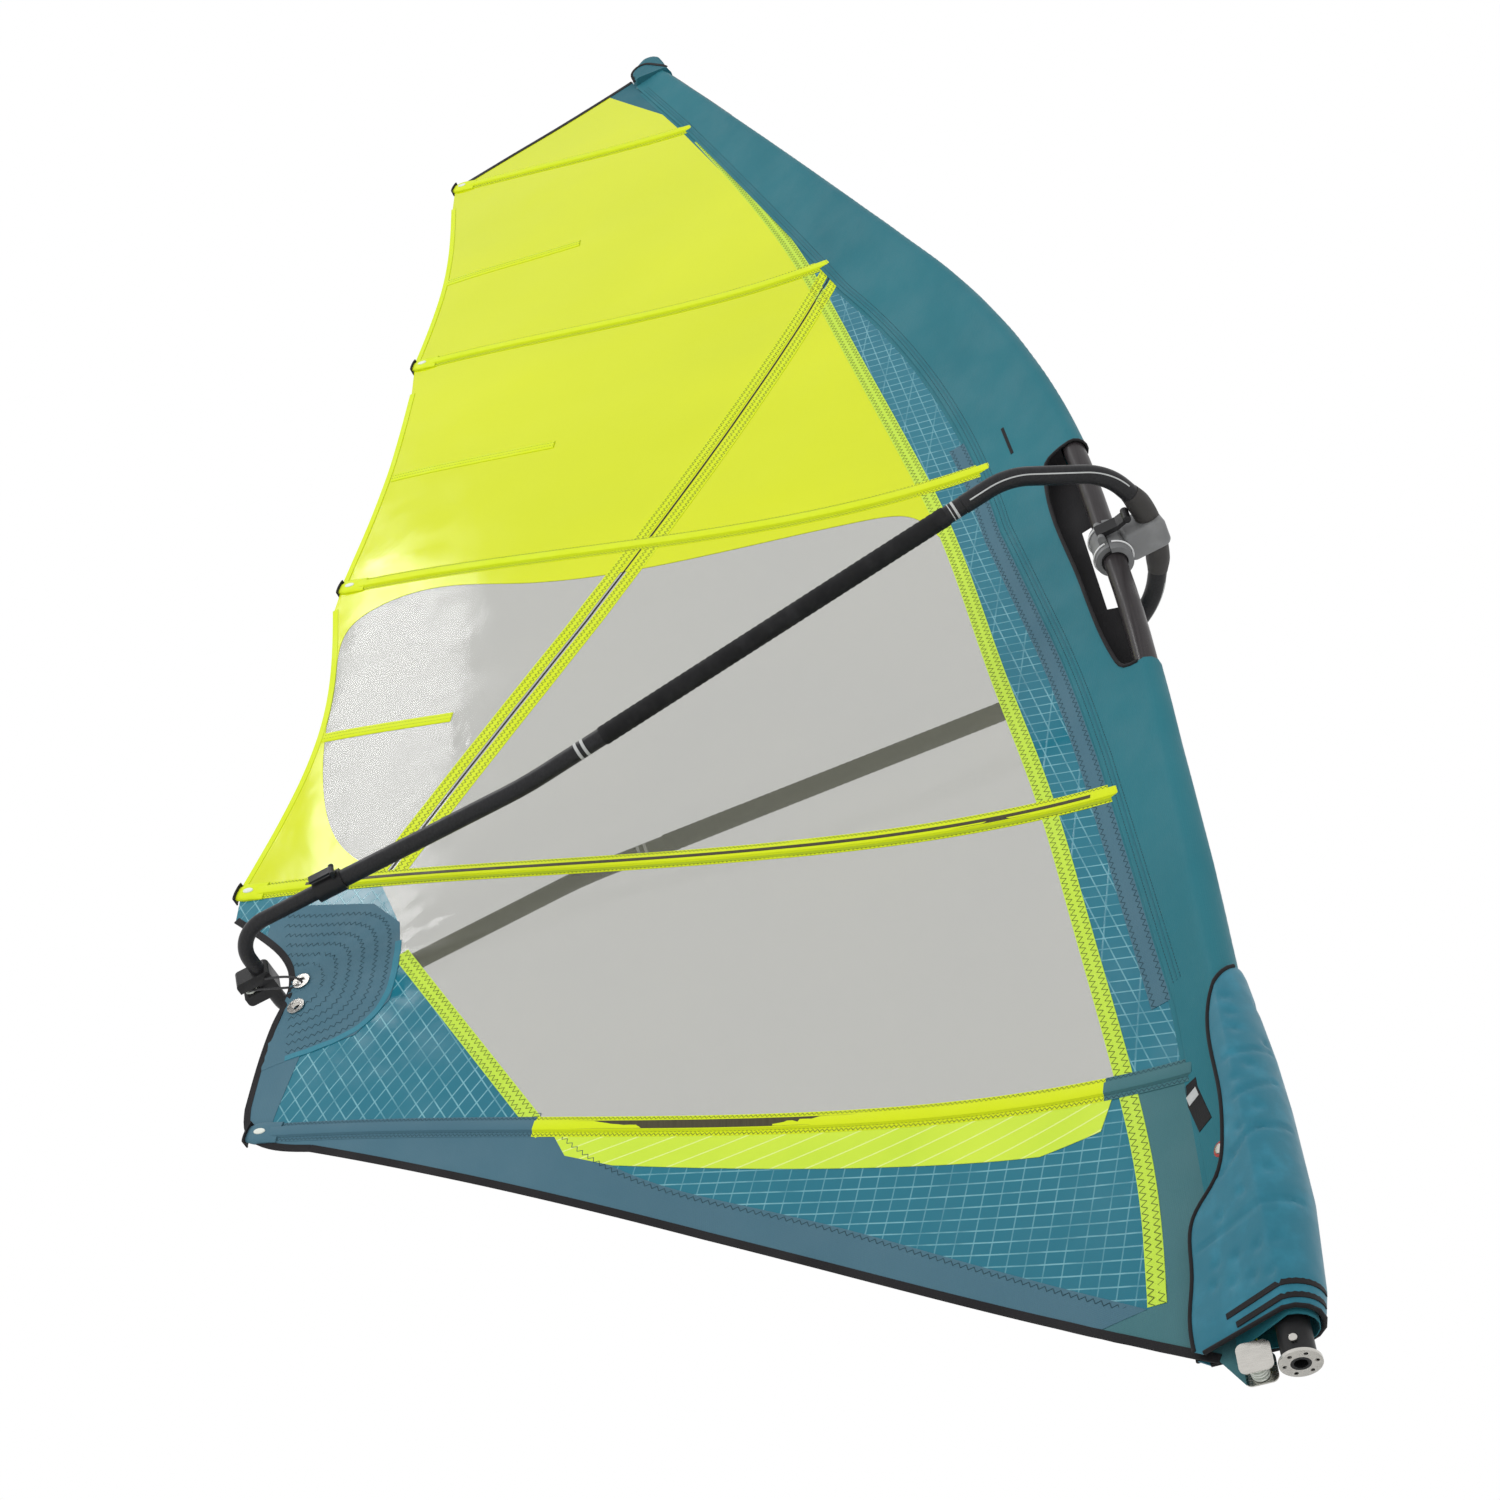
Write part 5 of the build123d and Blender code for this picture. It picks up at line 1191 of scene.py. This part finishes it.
BAR_R, BAND_R, GRIP_R = 0.01525, 0.01475, 0.0160
RIB, RIBS, END_STEP = 0.0007, 214, 0.0008
GRIP_START, GRIP_END = 0.030, 0.670                     # along the arm from its front corner
COVER_HALF, COVER_R, COVER_SWELL = 0.086, 0.0157, 0.0036
LINE_OUT, LINE_DOWN = 0.62, -0.785                      # direction of the edge lines round the bar
LASHING_R = 0.0317
ARM_BANDS = [(0.012, 0.016), (0.0205, 0.022), (0.700, 0.705), (0.712, 0.717)]       # along the arm


def on_arm(side, distance):
    """Flat point on a boom arm, a distance aft of its front corner."""
    return toward((ARM_FRONT[0], side * ARM_FRONT[1]), (ARM_AFT[0], side * ARM_AFT[1]), distance)


def boom_bar(path, radii):
    """Round bar over flat points in the boom plane."""
    return tubed([on_boom(x, y, 0) for x, y in path], radii, tilted_up(BOOM_DROOP))


def add_grips():
    """Ribbed foam grips."""
    for name, side in (("grip_port", 1), ("grip_starboard", -1)):
        start, end = on_arm(side, GRIP_START), on_arm(side, GRIP_END)
        path = [tuple(a + (b - a) * i / RIBS for a, b in zip(start, end)) for i in range(RIBS + 1)]
        radii = [GRIP_R - (RIB if i % 4 == 2 and 3 < i < RIBS - 3 else 0)
                 - (END_STEP if i in (0, RIBS) else 0) for i in range(RIBS + 1)]
        grip = add_piece(name, *boom_bar(path, radii), "grip_foam", "boom", ["grips"], 60)


def add_bow_trim():
    """Moulded bow cover, edge lines beside it and bands round the arms."""
    up = tilted_up(BOOM_DROOP)
    bow = filleted(BOW + [(x, -y) for x, y in reversed(BOW)], BOW_RADII)
    middle = [p for p in bow if abs(p.y) < COVER_HALF]
    radii = [COVER_R + COVER_SWELL * ease(COVER_HALF - abs(p.y), 0, 0.030) for p in middle]
    add_piece("bow_cover", *boom_bar(middle, radii), "bow_grip", "boom", (), 60)
    centre = on_boom(-0.1, 0, 0)
    marks, bands = Gathered(), Gathered()
    for side in SIDES:
        path = [p for p in bow if 0.095 < side * p.y and p.x > -0.178][::side]
        points = [on_boom(p.x, p.y, 0) for p in path]
        line = []
        for i, point in enumerate(points):
            ahead = (points[min(i + 1, len(points) - 1)] - points[max(i - 1, 0)]).normalized()
            out = ahead.cross(up).normalized()
            out = out if (point - centre).dot(out) > 0 else -out
            way = (out * LINE_OUT + up * LINE_DOWN).normalized()
            line.append((point + way * BAR_R, way))
        marks.take(*along(line, tape_profile(0.0022, 0.0003, 0.0003, 0.0001)))
        for low, high in ARM_BANDS:
            bands.take(*boom_bar([on_arm(side, low), on_arm(side, high)], [BAND_R, BAND_R]))
    marks.add("bow_lines", "mark_grey", "boom")
    bands.add("arm_bands", "mark_grey", "boom")


def add_clamp_trim():
    """Lashing loops in the two halves of the clamp, and the knob of its lever."""
    rise = tilted_up(CLAMP_LEAN)
    for name, body, first, last in (("lashing_head", "boom", -1.40, 1.40),
                                    ("lashing_jaw", "jaw", 1.75, 4.53)):
        loops = Gathered()
        for height in (-0.024, 0.024):
            arc = [on_boom(LASHING_R * cos(t), LASHING_R * sin(t), height, CLAMP_LEAN)
                   for t in np.linspace(first, last, 40)]
            loops.take(*sweep(arc, [rise] * len(arc), ring_profile(0.0015)))
        loops.add(name, "line_pale", body)
    knob = [on_boom(0.040, -0.0520, h, CLAMP_LEAN) for h in (-0.0145, -0.013, 0.013, 0.0145)]
    add_piece("lever_knob", *tubed(knob, [0.0050, 0.0066, 0.0066, 0.0050], Vector((0, 1, 0))),
              "plastic_black", "lever")


def line_route():
    """Centreline of the outhaul, read from the spline over its route."""
    curve = bpy.data.curves.new("outhaul_route", "CURVE")
    curve.dimensions = "3D"
    curve.resolution_u = 12
    spline = curve.splines.new("NURBS")
    spline.points.add(len(LINE_ROUTE) - 1)
    for knot, place in zip(spline.points, LINE_ROUTE):
        knot.co = (*on_boom(*place), 1)
    spline.order_u = 3
    spline.use_endpoint_u = True
    holder = bpy.data.objects.new("outhaul_route", curve)
    bpy.context.scene.collection.objects.link(holder)
    mesh = bpy.data.meshes.new_from_object(holder)
    points = [v.co.copy() for v in mesh.vertices]
    bpy.data.objects.remove(holder)
    return [p for i, p in enumerate(points) if i == 0 or (p - points[i - 1]).length > 1e-6]


def add_outhaul():
    """Braided outhaul line between the clew grommet and the tail fitting."""
    points = line_route()
    length = sum((b - a).length for a, b in zip(points, points[1:]))
    up = Vector((0.30, 0.91, 0.28)).normalized()
    line = add_piece("outhaul_rope", *tubed(points, [LINE_D / 2] * len(points), up, 14), "rope_black",
                     body=None, sharp=None)
    near, far = on_boom(*LINE_ROUTE[2]), on_boom(*LINE_ROUTE[0])
    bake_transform(line)
    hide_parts("outhaul_line")
    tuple(points[0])


def add_webbing():
    """Lime webbing from the tack block's bar up into the tack."""
    x, y, bar, radius, top = -0.049, 0.013, 0.036, 0.0042, 0.119
    path = [Vector((x + radius, y, z)) for z in np.linspace(top, bar, 14)]
    path += [Vector((x + radius * cos(t), y, bar + radius * sin(t))) for t in np.linspace(0, -pi, 12)[1:]]
    path += [Vector((x - radius, y, z)) for z in np.linspace(bar, top, 14)[1:]]
    width = [(-0.004, -0.0006), (0.004, -0.0006), (0.004, 0.0006), (-0.004, 0.0006)]
    outs = [(path[min(i + 1, len(path) - 1)] - path[max(i - 1, 0)]).normalized().cross(Vector((0, 1, 0)))
            for i in range(len(path))]
    add_piece("tack_webbing_strap", *sweep(path, outs, width), "webbing_lime", "rig", ["tack_webbing"])


# ---- looks of the CAD pieces that stay
HARD = {
    "carbon_mast": ["mast_lower", "mast_upper"],
    "carbon_boom": ["front_bow", "arm_port", "arm_starboard", "tail_loop"],
    "plastic_black": ["base_cup", "tail_fitting", "arm_collars", "clamp_lever", "tail_clip_port",
                      "tail_clip_starboard", "tip_plug", "extension_collar"],
    "plastic_grey": ["boom_head", "clamp_jaw"],
    "plastic_pale": ["tack_sheave_1", "tack_sheave_2", "tail_sheave"],
    "rubber_black": ["mast_liner"],
    "stainless": ["base_flange", "tack_block", "jaw_pin", "grommets", "base_button"],
    "alloy": ["mast_extension"],
    "batten_glass": [f"batten_{number}" for number in range(1, 6)],
}


def dress_cad():
    for look, nodes in HARD.items():
        for node in nodes:
            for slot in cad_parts[node].material_slots:
                slot.material = LOOKS[look].material


# ---- floor, backdrop and light
def pale(name, color):
    """Matt studio surface that only shows its face."""
    material = bpy.data.materials.new(name)
    material.use_nodes = True
    tree = material.node_tree
    skin, output = tree.nodes["Principled BSDF"], tree.nodes["Material Output"]
    skin.inputs["Base Color"].default_value = (*color, 1)
    skin.inputs["Roughness"].default_value = 0.9
    clear, side, mix = (tree.nodes.new("ShaderNode" + kind)
                        for kind in ("BsdfTransparent", "NewGeometry", "MixShader"))
    for first, second in ((side.outputs["Backfacing"], mix.inputs[0]), (skin.outputs[0], mix.inputs[1]),
                          (clear.outputs[0], mix.inputs[2]), (mix.outputs[0], output.inputs[0])):
        tree.links.new(first, second)
    return material


def add_plane(name, corners, color):
    mesh = bpy.data.meshes.new(name)
    mesh.from_pydata(corners, [], [(0, 1, 2, 3)])
    plane = bpy.data.objects.new(name, mesh)
    mesh.materials.append(pale(name, color))
    bpy.context.scene.collection.objects.link(plane)
    plane.visible_shadow = False


def add_light(name, place, target, size, power, shines=False):
    data = bpy.data.lights.new(name, "AREA")
    data.shape, data.size, data.size_y, data.energy = "RECTANGLE", size[0], size[1], power
    light = bpy.data.objects.new(name, data)
    light.location = place
    light.visible_glossy = shines
    light.visible_diffuse = not shines
    aim = Vector(target) - Vector(place)
    light.rotation_euler = aim.to_track_quat("-Z", "Y").to_euler()
    bpy.context.scene.collection.objects.link(light)


def add_studio():
    scene = bpy.context.scene
    world = bpy.data.worlds.new("studio")
    world.use_nodes = True
    backdrop = world.node_tree.nodes["Background"].inputs
    backdrop["Color"].default_value, backdrop["Strength"].default_value = (1.0, 1.0, 1.0, 1), 1.0
    scene.world = world
    scene.view_settings.view_transform = "Standard"
    low, wide = -0.03, 80.0
    add_plane("floor", [(-wide, -wide, low), (wide, -wide, low), (wide, wide, low), (-wide, wide, low)],
              (0.93, 0.93, 0.92))
    add_light("key", (-3.4, -4.6, 3.2), (-0.6, 0, 1.8), (2.6, 2.6), 85)
    add_light("fill", (3.2, -4.4, 0.6), (-0.4, 0, 1.4), (2.5, 3.0), 30)
    add_light("glint", (-2.6, -2.3, 4.6), (-0.9, 0.05, 1.6), (0.7, 1.3), 26, True)


# ---- the whole rig
add_camera()
dress_cad()
add_panels()
add_overlays()
add_pockets()
add_tapes()
add_bindings()
add_batten_ends()
add_sleeves()
add_head_cap()
add_fairing()
add_grips()
add_bow_trim()
add_clamp_trim()
add_outhaul()
add_webbing()
for look, threads in THREADS.items():
    threads.add("stitching_" + look.split("_")[1], look)
add_studio()
